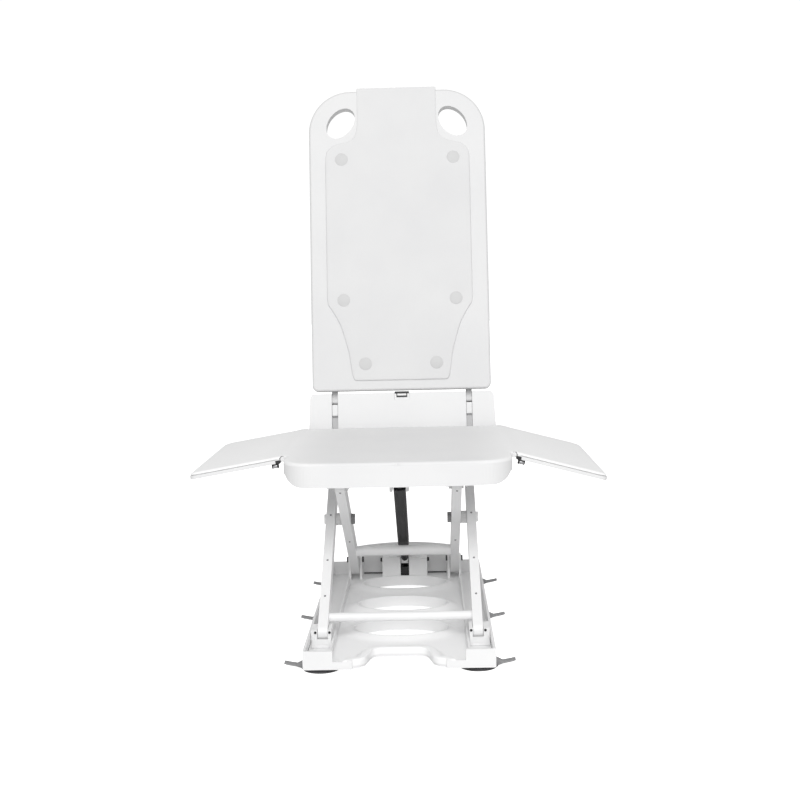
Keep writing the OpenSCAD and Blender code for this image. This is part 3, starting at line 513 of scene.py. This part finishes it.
def makeBackPanel():
    size = {"edge": 0.0045, "depth": 0.022, "corner": (0.09, 0.526), "side": 0.172, "foot": 0.014,
            "top": 0.612, "hole": (0.1145, 0.5495), "holeReach": 0.042, "tabs": -0.001}
    bm = nodeCopy("backrest_panel")

    def nearHole(p):
        return math.hypot(abs(p.x) - size["hole"][0], p.z - size["hole"][1]) < size["holeReach"]

    def onOutline(point, edge):
        p = inBack(point)
        onFace = p.y < 1e-4 or p.y > size["depth"] - 1e-4
        onCorner = abs(p.x) > size["corner"][0] and p.z > size["corner"][1]
        onBorder = onCorner or abs(p.x) > size["side"] or p.z < size["foot"] or p.z > size["top"]
        return onFace and onBorder and not nearHole(p)

    roundEdges(bm, size["edge"], 60, 4, onOutline)
    for face in bm.faces:  # painted light: the hand holes' lining and the hinge tabs below the edge take the paler copy of the tray white, which lifts their shade
        centre = inBack(face.calc_center_median())
        if centre.z < size["tabs"] or nearHole(centre) and abs(face.normal.dot(backFacing)) < 0.5:
            face.material_index = 1
    # the panel takes the darker copy of the moulded white, painted shade
    panel = addMade("backPanel", bm, "backWhite", "upper_back", ["backrest_panel"], "white_shell", True)
    panel.data.materials.append(finishes["trayPale"])


def makeSoftened():
    # node, radius, finish, body
    rows = [
        ("lower_back_plate", 0.0022, "mouldedWhite", "lower_back"),
        ("left_flap", 0.002, "mouldedWhite", "left_flap"),
        ("right_flap", 0.002, "mouldedWhite", "right_flap"),
        ("base_tray", 0.0012, "trayWhite", "base"),
        ("rear_pivot_brackets", 0.001, "trayWhite", "base"),
        # the foot blocks take the paler copy of the tray white, painted light against the shade under the
        # seat
        ("drive_foot_blocks", 0.0015, "trayPale", "base"),
        ("recline_ears", 0.001, "mouldedWhite", "seat"),
        ("inner_leg_left", 0.0024, "powderWhite", "inner_legs"),
        ("inner_leg_right", 0.0024, "powderWhite", "inner_legs"),
        ("outer_leg_left", 0.0024, "powderWhite", "outer_legs"),
        ("outer_leg_right", 0.0024, "powderWhite", "outer_legs"),
        ("front_slider_left", 0.001, "sliderWhite", "front_sliders"),
        ("front_slider_right", 0.001, "sliderWhite", "front_sliders"),
        ("hinge_bars", 0.0008, "hingeGrey", "lower_back"),
    ]
    for nodeName, radius, finishName, body in rows:
        first, *others = nodeName.split("_")
        name = first + "".join(word.capitalize() for word in others)
        bm = nodeCopy(nodeName)
        roundEdges(bm, radius, 50)
        addMade(name, bm, finishName, body, [nodeName], nodeSlot[nodeName], True)


makeBackPanel()
makeSoftened()
print("rigid pieces rounded")


# soft pieces

def makeSeatCovers():
    # one foam cover over the seat and both flaps, in a left and a right half
    size = {
        "thick": 0.0056, "edge": 0.005, "cell": 0.006, "frontRadius": 1.7, "halfSeat": 0.19, "corner": 0.055,
        "flapWidth": 0.164, "frontCorner": 0.012, "rearCorner": 0.020, "lip": 0.0016, "tuck": 0.002,
        "web": 0.0057, "webHalf": 0.0062, "crown": 0.0006, "bend": 0.012, "ridge": 0.0013,
        "ridgeReach": 0.011, "fall": 0.0008, "fallReach": 0.02, "blendHalf": 0.014,
        "seamReach": (0.005, 0.004),
        "notch": ((0, -0.010), (0.001, -0.005), (0.004, -0.0015), (0.009, 0)),  # seat's side to flap's front
        "rearStep": ((0.03, 0), (0.006, -0.002)), "rearStart": 0.012, "rearInset": 0.0005,
    }
    hinge, shell = lift["hingeX"], lift["shellZ"]
    front, rear = lift["seatFrontY"], lift["seatRearY"]
    outer = hinge + size["flapWidth"] - size["lip"]
    flapFront, flapRear = lift["flapFrontY"] + size["lip"], lift["flapRearY"] - size["lip"]
    cornerX = size["halfSeat"] - size["corner"]
    bowY, reach = front + size["frontRadius"], size["frontRadius"] - size["corner"]
    cornerY = bowY - math.sqrt(reach ** 2 - cornerX ** 2)
    tangent = math.degrees(math.asin(cornerX / reach)) - 90
    loop = arc((0, bowY), size["frontRadius"], -90, tangent, 20)
    loop += arc((cornerX, cornerY), size["corner"], tangent, 0, 14)[1:]
    loop += [(size["halfSeat"] + x, flapFront + y) for x, y in size["notch"]]
    fr, rr = size["frontCorner"], size["rearCorner"]
    loop += arc((outer - fr, flapFront + fr), fr, -90, 0)
    loop += arc((outer - rr, flapRear - rr), rr, 0, 90, 18)
    loop += [(hinge + x, flapRear + y) for x, y in size["rearStep"]]
    rearEdge = rear - size["rearInset"]
    loop += [(hinge - size["rearStart"], rearEdge), (0, rearEdge)]

    def sideAt(x, y, sides):  # the halves meet squarely at the middle
        fixed = sides.copy()
        across, along = size["seamReach"]
        fixed[x < 1e-4] = 0
        fixed[(x < across) & (y < front + along)] = (0, -1)
        fixed[(x < across) & (y > rear - along)] = (0, 1)
        return fixed

    def top(x, y):
        across = np.clip(np.abs(x) / hinge, 0, 1)
        fall = np.clip((outer - x) / size["fallReach"], 0, 1)
        ridge = size["ridge"] * np.exp(-((x - hinge) / size["ridgeReach"]) ** 2)  # over the hinge barrels
        return size["thick"] - size["crown"] * across ** 2 - size["fall"] * (1 - fall) ** 2 + ridge

    def bottom(x, y):
        return np.where(np.abs(x - hinge) < size["webHalf"], size["web"], 0.0)

    def tuck(x, y):
        return np.where(x > hinge + size["bend"], size["tuck"], 0.0)

    def placed(side, sign):
        turn, soft = math.radians(lift["droop"][side]), size["bend"]

        def place(x, y, z):
            past = np.clip((x - hinge + soft) / (2 * soft), 0, 1)
            angle = turn * past  # the slope grows evenly over the bend
            inBend = np.clip(x - hinge + soft, 0, 2 * soft)
            dropBend = turn * inBend ** 2 / (4 * soft)
            after = np.clip(x - hinge - soft, 0, None)
            wx = np.minimum(x, hinge + soft) + after * math.cos(turn) + z * np.sin(angle)
            wz = shell - dropBend - after * math.sin(turn) + z * np.cos(angle)
            return np.column_stack([sign * wx, y, wz])
        return place

    for side, sign in (("left", -1), ("right", 1)):
        name = side + "SeatCover"
        mesh = softSheet(name, [loop], size["cell"], size["edge"], top, bottom, placed(side, sign),
                         sideAt=sideAt, tuck=tuck)
        cover = addPiece(name, mesh, "foamSeat")
        # the second material paints the shadow in the slit under the flaps' edges
        mesh.materials.append(finishes["paintedShadow"])
        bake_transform(cover)
        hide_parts(side + "_flap_pad", *(["seat_pad"] if sign > 0 else []))


def makeBackCover():
    # a foam sheet with a flared foot and a strap over the panel's top edge
    size = {
        "thick": 0.0036, "thin": 0.0014, "thinFrom": 0.17, "thinOver": 0.07, "edge": 0.0026, "cell": 0.005,
        "height": 0.616, "pinch": 0.0009, "pinchReach": 0.024, "strap": 0.0055, "halfStrap": 0.081,
        "deep": 0.022, "strapFront": -0.001, "strapGap": 0.0002, "strapEdge": 0.002,
        "foot": ((0.090, 0.020), (0.0955, 0.0235), (0.100, 0.042), (0.104, 0.072), (0.110, 0.096),
                 (0.122, 0.135), (0.138, 0.164), (0.145, 0.174), (0.147, 0.186)),
        "shoulder": ((0.147, 0.140), (0.143, 0.124), (0.128, 0.112), (0.104, 0.106), (0.090, 0.098),
                     (0.083, 0.084), (0.081, 0.064)),  # heights down from the top
        "topStud": (0.114, 0.1425), "lowStuds": ((0.1135, 0.184), (0.0716, 0.054)),
    }
    h = size["height"]
    lower = smoothPath(size["foot"], 6)
    upper = smoothPath([(x, h - down) for x, down in size["shoulder"]], 6)
    right = np.vstack([lower, upper, [(size["halfStrap"], h + size["strap"])]])
    left = right[::-1] * (-1, 1)
    spots = [(size["topStud"][0], h - size["topStud"][1]), *size["lowStuds"]]
    studs = [(s * x, z) for s in (-1, 1) for x, z in spots]

    def top(x, y):
        rise = np.clip((y - h + size["thinFrom"]) / size["thinOver"], 0, 1)  # thinner towards the strap
        level = size["thick"] + (size["thin"] - size["thick"]) * rise
        for sx, sz in studs:  # the studs hold the sheet down
            level -= size["pinch"] * np.exp(-((x - sx) ** 2 + (y - sz) ** 2) / size["pinchReach"] ** 2)
        return level

    def place(x, y, z):
        local = np.column_stack([x, -z, y, np.ones(len(x))])
        return (local @ np.array(backPlane).T)[:, :3]

    mesh = softSheet("backCover", [np.vstack([right, left])], size["cell"], size["edge"], top,
                     lambda x, y: np.zeros(len(x)), place)
    # the cover and its strap take the darker copy of the foam, painted shade
    cover = addPiece("backCover", mesh, "foamShadedWhite", "upper_back", ["backrest_cover"], "cover")
    bm = bmesh.new()
    roundedBox(bm, (-size["halfStrap"], size["strapFront"], h + size["strapGap"]),
               (size["halfStrap"], size["deep"], h + size["strap"]), size["strapEdge"], backPlane, 3)
    strap = addMade("coverStrap", bm, "foamShadedWhite", "upper_back", (), "cover", True)
    xs, zs = np.array(studs[3:]).T
    return [(float(x), float(z), float(level)) for x, z, level in zip(xs, zs, top(xs, zs))]


makeSeatCovers()
studPlaces = makeBackCover()
print("soft pieces made")


# the tray's floor

def makeTraySkin():
    # raised rims and inner walls of the ovals, and the broad lip of the front arch
    size = {
        "half": 0.1062, "floor": 0.0131, "under": 0.0122, "rim": 0.0073, "rimReach": 0.015, "lip": 0.0093,
        "lipWidth": 0.011, "lipFall": 0.012, "cell": 0.0042, "edge": 0.0022, "frontGap": 0.0005,
        "rearGap": 0.0045, "ovalX": 0.0794, "ovalY": 0.0454, "firstOval": 0.182, "ovalPitch": 0.147,
        "ovalCount": 3, "ovalSides": 72,
        "wall": ((0.988, 0.0178), (0.970, 0.0125), (0.940, 0.0068), (0.900, 0.0022), (0.925, 0.0022),
                 (1.003, 0.0165)),  # share of the oval and height
        "arch": ((0.0724, 0.0), (0.0714, 0.0046), (0.0604, 0.0086), (0.0524, 0.018), (0.0484, 0.034),
                 (0.0454, 0.0474), (0.0404, 0.0574), (0.0314, 0.0614)),  # half width and depth
        "archStep": 0.002, "archFoot": 0.001,
    }
    half, wide, deep = size["half"], size["ovalX"], size["ovalY"]
    front, rear = lift["frontY"], lift["rearY"] - size["rearGap"]
    frontEdge = front + size["frontGap"]
    archRight = smoothPath([(x, front + y) for x, y in size["arch"]], 5)
    arch = np.vstack([archRight * (-1, 1), archRight[::-1]])
    outer = np.vstack([[(half, frontEdge), (half, rear), (-half, rear), (-half, frontEdge)], arch])
    centres = [front + size["firstOval"] + size["ovalPitch"] * i for i in range(size["ovalCount"])]
    angles = np.radians(np.linspace(0, -360, size["ovalSides"], endpoint=False))
    holes = [[(wide * math.cos(a), cy + deep * math.sin(a)) for a in angles] for cy in centres]
    archDense = evenLoop(arch, size["archStep"])
    archDense = archDense[archDense[:, 1] > front + size["archFoot"]]

    def top(x, y):
        level = np.full(len(x), size["floor"])
        rise = np.zeros(len(x))
        for cy in centres:
            reach = np.hypot(x / wide, (y - cy) / deep)
            away = np.clip(reach - 1, 0, None) * np.hypot(x, y - cy) / np.maximum(reach, 1e-6)
            rise = np.maximum(rise, size["rim"] * np.exp(-(away / size["rimReach"]) ** 2))
        near = np.sqrt(((np.column_stack([x, y])[:, None, :] - archDense[None]) ** 2).sum(2)).min(1)
        fall = np.clip((near - size["lipWidth"]) / size["lipFall"], 0, 1)
        lip = size["lip"] * (1 - fall * fall * (3 - 2 * fall))
        return level + np.maximum(rise, lip)

    mesh = softSheet("trayFloor", [outer, *holes], size["cell"], size["edge"], top,
                     lambda x, y: np.full(len(x), size["under"]), lambda x, y, z: np.column_stack([x, y, z]))
    # the floor skin and the ovals' walls take the paler copy of the tray white, painted light against the
    # shade under the seat
    addPiece("trayFloor", mesh, "trayPale", "base", (), "white_shell")
    walls = bmesh.new()  # the ovals' deep inner walls, drawn in towards the bath's floor
    for cy in centres:
        oval = Matrix.Translation((0, cy, 0)) @ Matrix.Diagonal((wide, deep, 1, 1))
        lathe(walls, [*size["wall"], size["wall"][0]], size["ovalSides"], oval)
    bmesh.ops.remove_doubles(walls, verts=walls.verts, dist=1e-6)
    faceOut(walls)
    addMade("ovalWalls", walls, "trayPale", "base", (), "white_shell")


makeTraySkin()
print("tray floor made")


# rows of studs, rivets, caps and marks

def makeStudTree():
    # a line of round buttons with a sloped rim, from one end point to the other; shares of radius and height
    shape = {"sides": 28, "shoulder": 0.95, "crown": 0.72, "waist": 0.55, "cap": 0.45, "seam": 0.05}
    tree = bpy.data.node_groups.new("studRow", "GeometryNodeTree")
    sockets = {}
    for label, kind in (("Count", "Int"), ("Radius", "Float"), ("Height", "Float"), ("Start", "Vector"),
                        ("End", "Vector"), ("Turn", "Vector"), ("Finish", "Material")):
        socket = tree.interface.new_socket(label, in_out="INPUT", socket_type="NodeSocket" + kind)
        sockets[label] = socket.identifier
    tree.interface.new_socket("Row", in_out="OUTPUT", socket_type="NodeSocketGeometry")
    given, result = addNode(tree, "NodeGroupInput"), addNode(tree, "NodeGroupOutput")
    link = tree.links.new

    def share(label, factor):
        part = addNode(tree, "ShaderNodeMath", operation="MULTIPLY")
        link(given.outputs[label], part.inputs[0])
        part.inputs[1].default_value = factor
        return part.outputs[0]

    waist = share("Height", shape["waist"])
    lower, upper = (addNode(tree, "GeometryNodeMeshCone") for _ in range(2))
    for cone, bottom, top, depth in ((lower, 1.0, shape["shoulder"], shape["waist"]),
                                     (upper, shape["shoulder"], shape["crown"], shape["cap"])):
        cone.inputs["Vertices"].default_value = shape["sides"]
        link(share("Radius", bottom), cone.inputs["Radius Bottom"])
        link(share("Radius", top), cone.inputs["Radius Top"])
        link(share("Height", depth), cone.inputs["Depth"])
    rise = addNode(tree, "ShaderNodeCombineXYZ")
    link(waist, rise.inputs["Z"])
    raised = addNode(tree, "GeometryNodeTransform")
    link(upper.outputs["Mesh"], raised.inputs["Geometry"])
    link(rise.outputs["Vector"], raised.inputs["Translation"])
    stack = addNode(tree, "GeometryNodeJoinGeometry")
    link(lower.outputs["Mesh"], stack.inputs["Geometry"])
    link(raised.outputs["Geometry"], stack.inputs["Geometry"])
    spot = addNode(tree, "GeometryNodeInputPosition")
    parts = addNode(tree, "ShaderNodeSeparateXYZ")
    link(spot.outputs["Position"], parts.inputs["Vector"])
    between = addNode(tree, "FunctionNodeCompare", data_type="FLOAT", operation="EQUAL")
    link(parts.outputs["Z"], between.inputs["A"])
    link(waist, between.inputs["B"])
    link(share("Height", shape["seam"]), between.inputs["Epsilon"])
    cleared = addNode(tree, "GeometryNodeDeleteGeometry", domain="FACE")  # where the two cones meet
    link(stack.outputs["Geometry"], cleared.inputs["Geometry"])
    link(between.outputs["Result"], cleared.inputs["Selection"])
    welded = addNode(tree, "GeometryNodeMergeByDistance")
    welded.inputs["Distance"].default_value = 1e-6
    link(cleared.outputs["Geometry"], welded.inputs["Geometry"])

    line = addNode(tree, "GeometryNodeMeshLine", mode="END_POINTS")
    link(given.outputs["Count"], line.inputs["Count"])
    link(given.outputs["Start"], line.inputs["Start Location"])
    link(given.outputs["End"], line.inputs["Offset"])
    turned = addNode(tree, "FunctionNodeEulerToRotation")
    link(given.outputs["Turn"], turned.inputs["Euler"])
    placed = addNode(tree, "GeometryNodeInstanceOnPoints")
    link(line.outputs["Mesh"], placed.inputs["Points"])
    link(welded.outputs["Geometry"], placed.inputs["Instance"])
    link(turned.outputs["Rotation"], placed.inputs["Rotation"])
    real = addNode(tree, "GeometryNodeRealizeInstances")
    link(placed.outputs["Instances"], real.inputs["Geometry"])
    coloured = addNode(tree, "GeometryNodeSetMaterial")
    link(real.outputs["Geometry"], coloured.inputs["Geometry"])
    link(given.outputs["Finish"], coloured.inputs["Material"])
    link(coloured.outputs["Geometry"], result.inputs["Row"])
    return tree, sockets


studTree, studSockets = makeStudTree()


def studRow(start, end, facing, count, radius, height):
    turn = Vector(facing).to_track_quat("Z", "Y").to_euler()
    return {"Count": count, "Radius": radius, "Height": height, "Start": tuple(start), "End": tuple(end),
            "Turn": tuple(turn)}


def addRows(name, rows, finishName, body, stands, slotName):
    bm = bmesh.new()
    for row in rows:
        holder = bpy.data.objects.new("rowHolder", bpy.data.meshes.new("rowHolder"))
        scene.collection.objects.link(holder)
        grow = holder.modifiers.new("studRow", "NODES")
        grow.node_group = studTree
        for label, value in row.items():
            grow[studSockets[label]] = value
        grow[studSockets["Finish"]] = finishes[finishName]
        bpy.context.view_layer.update()
        evaluated = holder.evaluated_get(bpy.context.evaluated_depsgraph_get())
        grown = bpy.data.meshes.new_from_object(evaluated)
        bm.from_mesh(grown)
        bpy.data.objects.remove(holder)
        bpy.data.meshes.remove(grown)
    addMade(name, bm, finishName, body, stands, slotName)


def makeStuds():
    size = {"radius": 0.01335, "height": 0.0022, "sunk": 0.0004}
    rows = []
    for x, z, level in studPlaces:
        low, high = (backPlane @ Vector((s * x, size["sunk"] - level, z)) for s in (-1, 1))
        rows.append(studRow(low, high, backFacing, 2, size["radius"], size["height"]))
    addRows("coverStuds", rows, "studGrey", "upper_back", ["cover_studs"], "stud")


def makeRivets():
    size = {"radius": 0.0019, "height": 0.0012, "half": 0.0138, "outerX": 0.125, "innerX": 0.0975,
            "outer": (0.065, 0.146, 0.255), "inner": (0.180, 0.412)}
    c, s = math.cos(math.radians(lift["legAngle"])), math.sin(math.radians(lift["legAngle"]))
    for body, pin, ahead, facing, x, places in (
            ("outer_legs", lift["frontPin"], (c, s), (0, -s, c), size["outerX"], size["outer"]),
            ("inner_legs", lift["rearPin"], (-c, s), (0, -s, -c), size["innerX"], size["inner"])):
        rows = []
        for along in places:
            y = pin[0] + ahead[0] * along + facing[1] * size["half"]
            z = pin[1] + ahead[1] * along + facing[2] * size["half"]
            rows.append(studRow((-x, y, z), (x, y, z), facing, 2, size["radius"], size["height"]))
        addRows("rivets" + body.split("_")[0].capitalize(), rows, "rivetGrey", body, (), "dark_steel")


def makeTrayMarks():
    # dark rack marks on the channels' outer walls and flat caps over the cups' stems
    size = {"wallX": 0.14405, "markZ": 0.024, "markYs": (-0.331, -0.253), "markCount": 7, "floorZ": 0.013,
            "mark": (0.0027, 0.0004), "cap": (0.0067, 0.0002)}  # radius and height
    marks, caps = [], []
    for s in (-1, 1):
        first, last = ((s * size["wallX"], y, size["markZ"]) for y in size["markYs"])
        marks.append(studRow(first, last, (-s, 0, 0), size["markCount"], *size["mark"]))
    for y in lift["cupYs"]:
        first, last = ((s * lift["cupX"], y, size["floorZ"]) for s in (-1, 1))
        caps.append(studRow(first, last, (0, 0, 1), 2, *size["cap"]))
    addRows("rackMarks", marks, "darkPlastic", "base", (), "dark_plastic")
    addRows("stemCaps", caps, "trayWhite", "base", (), "white_shell")


# sliders, drive foot, latch, hinges and cups

def makeSliderFaces():
    # a plate over each front slider's slot below the leg's foot, and the dark bolt ends beside the foot
    size = {"x": 0.125, "inset": 0.001, "proud": 0.0004, "thick": 0.0034, "low": 0.0187, "high": 0.0272,
            "edge": 0.0003, "boltOff": 0.0114, "boltZ": 0.0385, "boltRadius": 0.0022, "boltHeight": 0.0012}
    bm, rows = bmesh.new(), []
    for sign, nodeName in ((-1, "front_slider_left"), (1, "front_slider_right")):
        low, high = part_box(nodeName)
        face = low[1] - size["proud"]
        roundedBox(bm, (low[0] + size["inset"], face, size["low"]),
                   (high[0] - size["inset"], face + size["thick"], size["high"]), size["edge"])
        first, last = ((sign * size["x"] + s * size["boltOff"], low[1], size["boltZ"]) for s in (-1, 1))
        rows.append(studRow(first, last, (0, -1, 0), 2, size["boltRadius"], size["boltHeight"]))
    addMade("sliderFaces", bm, "sliderWhite", "front_sliders", (), "grey_plastic", True)
    addRows("sliderBolts", rows, "darkPlastic", "front_sliders", (), "dark_plastic")


def makeDriveFoot():
    # a dark block in the gap between the foot blocks, a pale band on the push rod's knuckle, the pin's dark
    # ends and dark strips that paint the shadow lines at the foot of the rear wall
    size = {
        "half": 0.0083, "inset": 0.0015, "long": 0.030, "high": 0.0352, "edge": 0.0008,
        "pinZ": 0.047, "endX": 0.044, "endRadius": 0.0042, "endHeight": 0.0044,
        "band": (0.0111, 0.0115), "bandTurn": 26, "bandSteps": 9, "bandGap": 0.0003,
        # seam: corners of the dark strips painted as shadow lines at the foot of the rear wall
        "seam": ((0.045, 0.1972, 0.0128), (0.0825, 0.1993, 0.0158)), "shadowLineEdge": 0.0003,
    }
    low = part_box("drive_foot_blocks")[0]
    front = low[1] + size["inset"]
    # a dark block fills the gap between the foot blocks
    bm = bmesh.new()
    roundedBox(bm, (-size["half"], front, low[2]), (size["half"], front + size["long"], size["high"]),
               size["edge"])
    addMade("footPad", bm, "darkPlastic", "base", (), "dark_plastic", True)

    pinY, pinZ = lift["rearPin"][0], size["pinZ"]
    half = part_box("push_rod")[1][0] - size["bandGap"]
    rings = []
    for a in np.radians(np.linspace(-size["bandTurn"], size["bandTurn"], size["bandSteps"])):
        near, far = ((pinY - r * math.cos(a), pinZ + r * math.sin(a)) for r in size["band"])
        rings.append([(-half, *near), (half, *near), (half, *far), (-half, *far)])
    bm = bmesh.new()
    barThrough(bm, rings)
    faceOut(bm)
    addMade("knuckleBand", bm, "powderWhite", "push_rod", (), "grey_plastic")

    ends = []
    for s in (-1, 1):
        spot = (s * size["endX"], pinY, pinZ)
        ends.append(studRow(spot, spot, (s, 0, 0), 1, size["endRadius"], size["endHeight"]))
    addRows("drivePinEnds", ends, "darkPlastic", "base", (), "dark_plastic")
    # dark strips painted as the shadow lines where the rear wall meets the floor
    bm = bmesh.new()
    (x0, y0, z0), (x1, y1, z1) = size["seam"]
    for near, far in ((-x1, -x0), (x0, x1)):
        roundedBox(bm, (near, y0, z0), (far, y1, z1), size["shadowLineEdge"])
    addMade("wallShadowLines", bm, "paintedShadow", "base", (), "dark_plastic", True)


def makeLatch():
    # a dark bar over a white thumb piece in a dark outline, on a white plate
    size = {
        "bar": ((-0.0143, 0.0022, -0.0070), (0.0143, 0.0029, -0.0026)),
        "outline": ((-0.0108, 0.0016, -0.0144), (0.0108, 0.0029, -0.0072)),
        "thumb": ((-0.0092, 0.0006, -0.0114), (0.0092, 0.0026, -0.0073)),
        "plate": ((-0.0151, 0.0031, -0.0188), (0.0151, 0.0124, -0.0032)),
        "edge": 0.0003, "thumbEdge": 0.0007,
    }
    bm = bmesh.new()
    roundedBox(bm, *size["bar"], size["edge"], backPlane)
    roundedBox(bm, *size["outline"], size["edge"], backPlane)
    addMade("latchBar", bm, "darkPlastic", "latch", ["fold_latch"], "dark_plastic", True)
    bm = bmesh.new()
    roundedBox(bm, *size["thumb"], size["thumbEdge"], backPlane)
    addMade("latchThumb", bm, "mouldedWhite", "latch", (), "white_shell", True)
    bm = bmesh.new()
    roundedBox(bm, *size["plate"], size["edge"], backPlane)
    addMade("latchPlate", bm, "trayWhite", "lower_back", (), "white_shell", True)


def makeHingeStrips():
    # white slips over the hinge bars in the lower panel's slots, each ending in a dark line
    size = {"x": 0.135, "half": 0.0056, "slip": (0.0014, 0.0047, -0.0495, -0.0272),
            "line": (0.0022, 0.0046, -0.0522, -0.0497), "slipEdge": 0.0006, "lineEdge": 0.0004}
    white, dark = bmesh.new(), bmesh.new()
    for sign in (-1, 1):
        x0, x1 = sign * size["x"] - size["half"], sign * size["x"] + size["half"]
        for bm, label in ((white, "slip"), (dark, "line")):
            near, far, low, high = size[label]
            roundedBox(bm, (x0, near, low), (x1, far, high), size[label + "Edge"], backPlane)
    addMade("hingeSlips", white, "mouldedWhite", "lower_back", (), "white_shell", True)
    addMade("hingeLines", dark, "tabRubber", "lower_back", (), "dark_plastic", True)


def makeFlapHardware():
    # a black clip with a steel bolt under each flap's front corner, a pale cap over the hinge pin's end
    size = {
        "plate": ((0.0085, 0.0010, -0.0080), (0.0205, 0.0120, -0.0058)),
        "wedge": ((0.0050, -0.0012, -0.0064), (0.0136, 0.0010, -0.0008)),
        "edge": 0.0006, "boltY": 0.006, "boltZ": -0.0102, "sides": 28,  # turned pieces as radius and height
        "bolt": [(0, 0.0122), (0.0034, 0.0122), (0.0036, 0.0126), (0.0036, 0.0196), (0.0032, 0.0202),
                 (0, 0.0202)],
        "collars": [[(0, 0.0098), (0.0038, 0.0098), (0.0042, 0.0102), (0.0042, 0.0122), (0, 0.0122)],
                    [(0, 0.0202), (0.0038, 0.0202), (0.0040, 0.0205), (0.0034, 0.0216), (0, 0.0218)]],
        "cap": [(0, 0.0), (0.0046, 0.0), (0.0046, 0.0006), (0.0040, 0.0011), (0, 0.0012)], "capY": 0.0007,
    }
    caps = bmesh.new()
    for side, sign in (("left", -1), ("right", 1)):
        corner = Matrix.Translation((sign * lift["hingeX"], lift["flapFrontY"], lift["shellZ"]))
        plane = corner @ Matrix.Rotation(sign * math.radians(lift["droop"][side]), 4, "Y")
        along = plane @ Matrix.Translation((0, size["boltY"], size["boltZ"]))
        along = along @ Matrix.Rotation(sign * math.pi / 2, 4, "Y")
        clip, bolt = bmesh.new(), bmesh.new()
        for low, high in (size["plate"], size["wedge"]):
            us = sorted((sign * low[0], sign * high[0]))
            roundedBox(clip, (us[0], low[1], low[2]), (us[1], high[1], high[2]), size["edge"], plane)
        for collar in size["collars"]:
            lathe(clip, collar, size["sides"], along)
        lathe(bolt, size["bolt"], size["sides"], along)
        ahead = corner @ Matrix.Translation((0, size["capY"], 0)) @ Matrix.Rotation(math.pi / 2, 4, "X")
        lathe(caps, size["cap"], size["sides"], ahead)
        for bm in (clip, bolt):
            faceOut(bm)
        addMade(side + "FlapClip", clip, "darkPlastic", side + "_flap",
                [side + "_hinge_clips"], "dark_plastic", True)
        addMade(side + "FlapBolt", bolt, "brushedSteel", side + "_flap", (), "steel")
    faceOut(caps)
    addMade("hingeCaps", caps, "mouldedWhite", "seat", (), "white_shell")


def makeCups():
    # six suction cups, each with a tapered pull tab on its outer side
    size = {
        "cup": [(0, 0.0036), (0.010, 0.0034), (0.019, 0.0022), (0.026, 0.0004), (0.0285, 0.0),
                (0.0303, 0.0003), (0.031, 0.0011), (0.0306, 0.0020), (0.0275, 0.0036), (0.022, 0.0058),
                (0.017, 0.0071), (0.013, 0.0078), (0.0057, 0.0079), (0.0057, 0.0122), (0.005, 0.0128),
                (0, 0.0129)],
        "sides": 56, "tabHalf": 0.0075, "tabEdge": 0.0004,
        "tab": ((0.1487, 0.0006, 0.0125), (0.1603, 0.0046, 0.0068), (0.1740, 0.0072, 0.0092),
                (0.1800, 0.0090, 0.0106)),  # distance out, lower and upper height
    }
    cups, tabs = bmesh.new(), bmesh.new()
    for sign in (-1, 1):
        for y in lift["cupYs"]:
            lathe(cups, size["cup"], size["sides"], Matrix.Translation((sign * lift["cupX"], y, 0)))
            near, far = y - size["tabHalf"], y + size["tabHalf"]
            rings = []
            for out, low, high in size["tab"]:
                x = sign * out
                rings.append([(x, near, low), (x, far, low), (x, far, high), (x, near, high)])
            barThrough(tabs, rings)
    for bm in (cups, tabs):
        faceOut(bm)
    roundEdges(tabs, size["tabEdge"], 45, 2)
    addMade("suctionCups", cups, "cupRubber", "base", ["suction_cups"], "cup_rubber")
    addMade("cupTabs", tabs, "tabRubber", "base", (), "cup_rubber")


makeCups()
makeStuds()
makeRivets()
makeTrayMarks()
makeSliderFaces()
makeDriveFoot()
makeLatch()
makeHingeStrips()
makeFlapHardware()
print("cups, studs and hardware made")
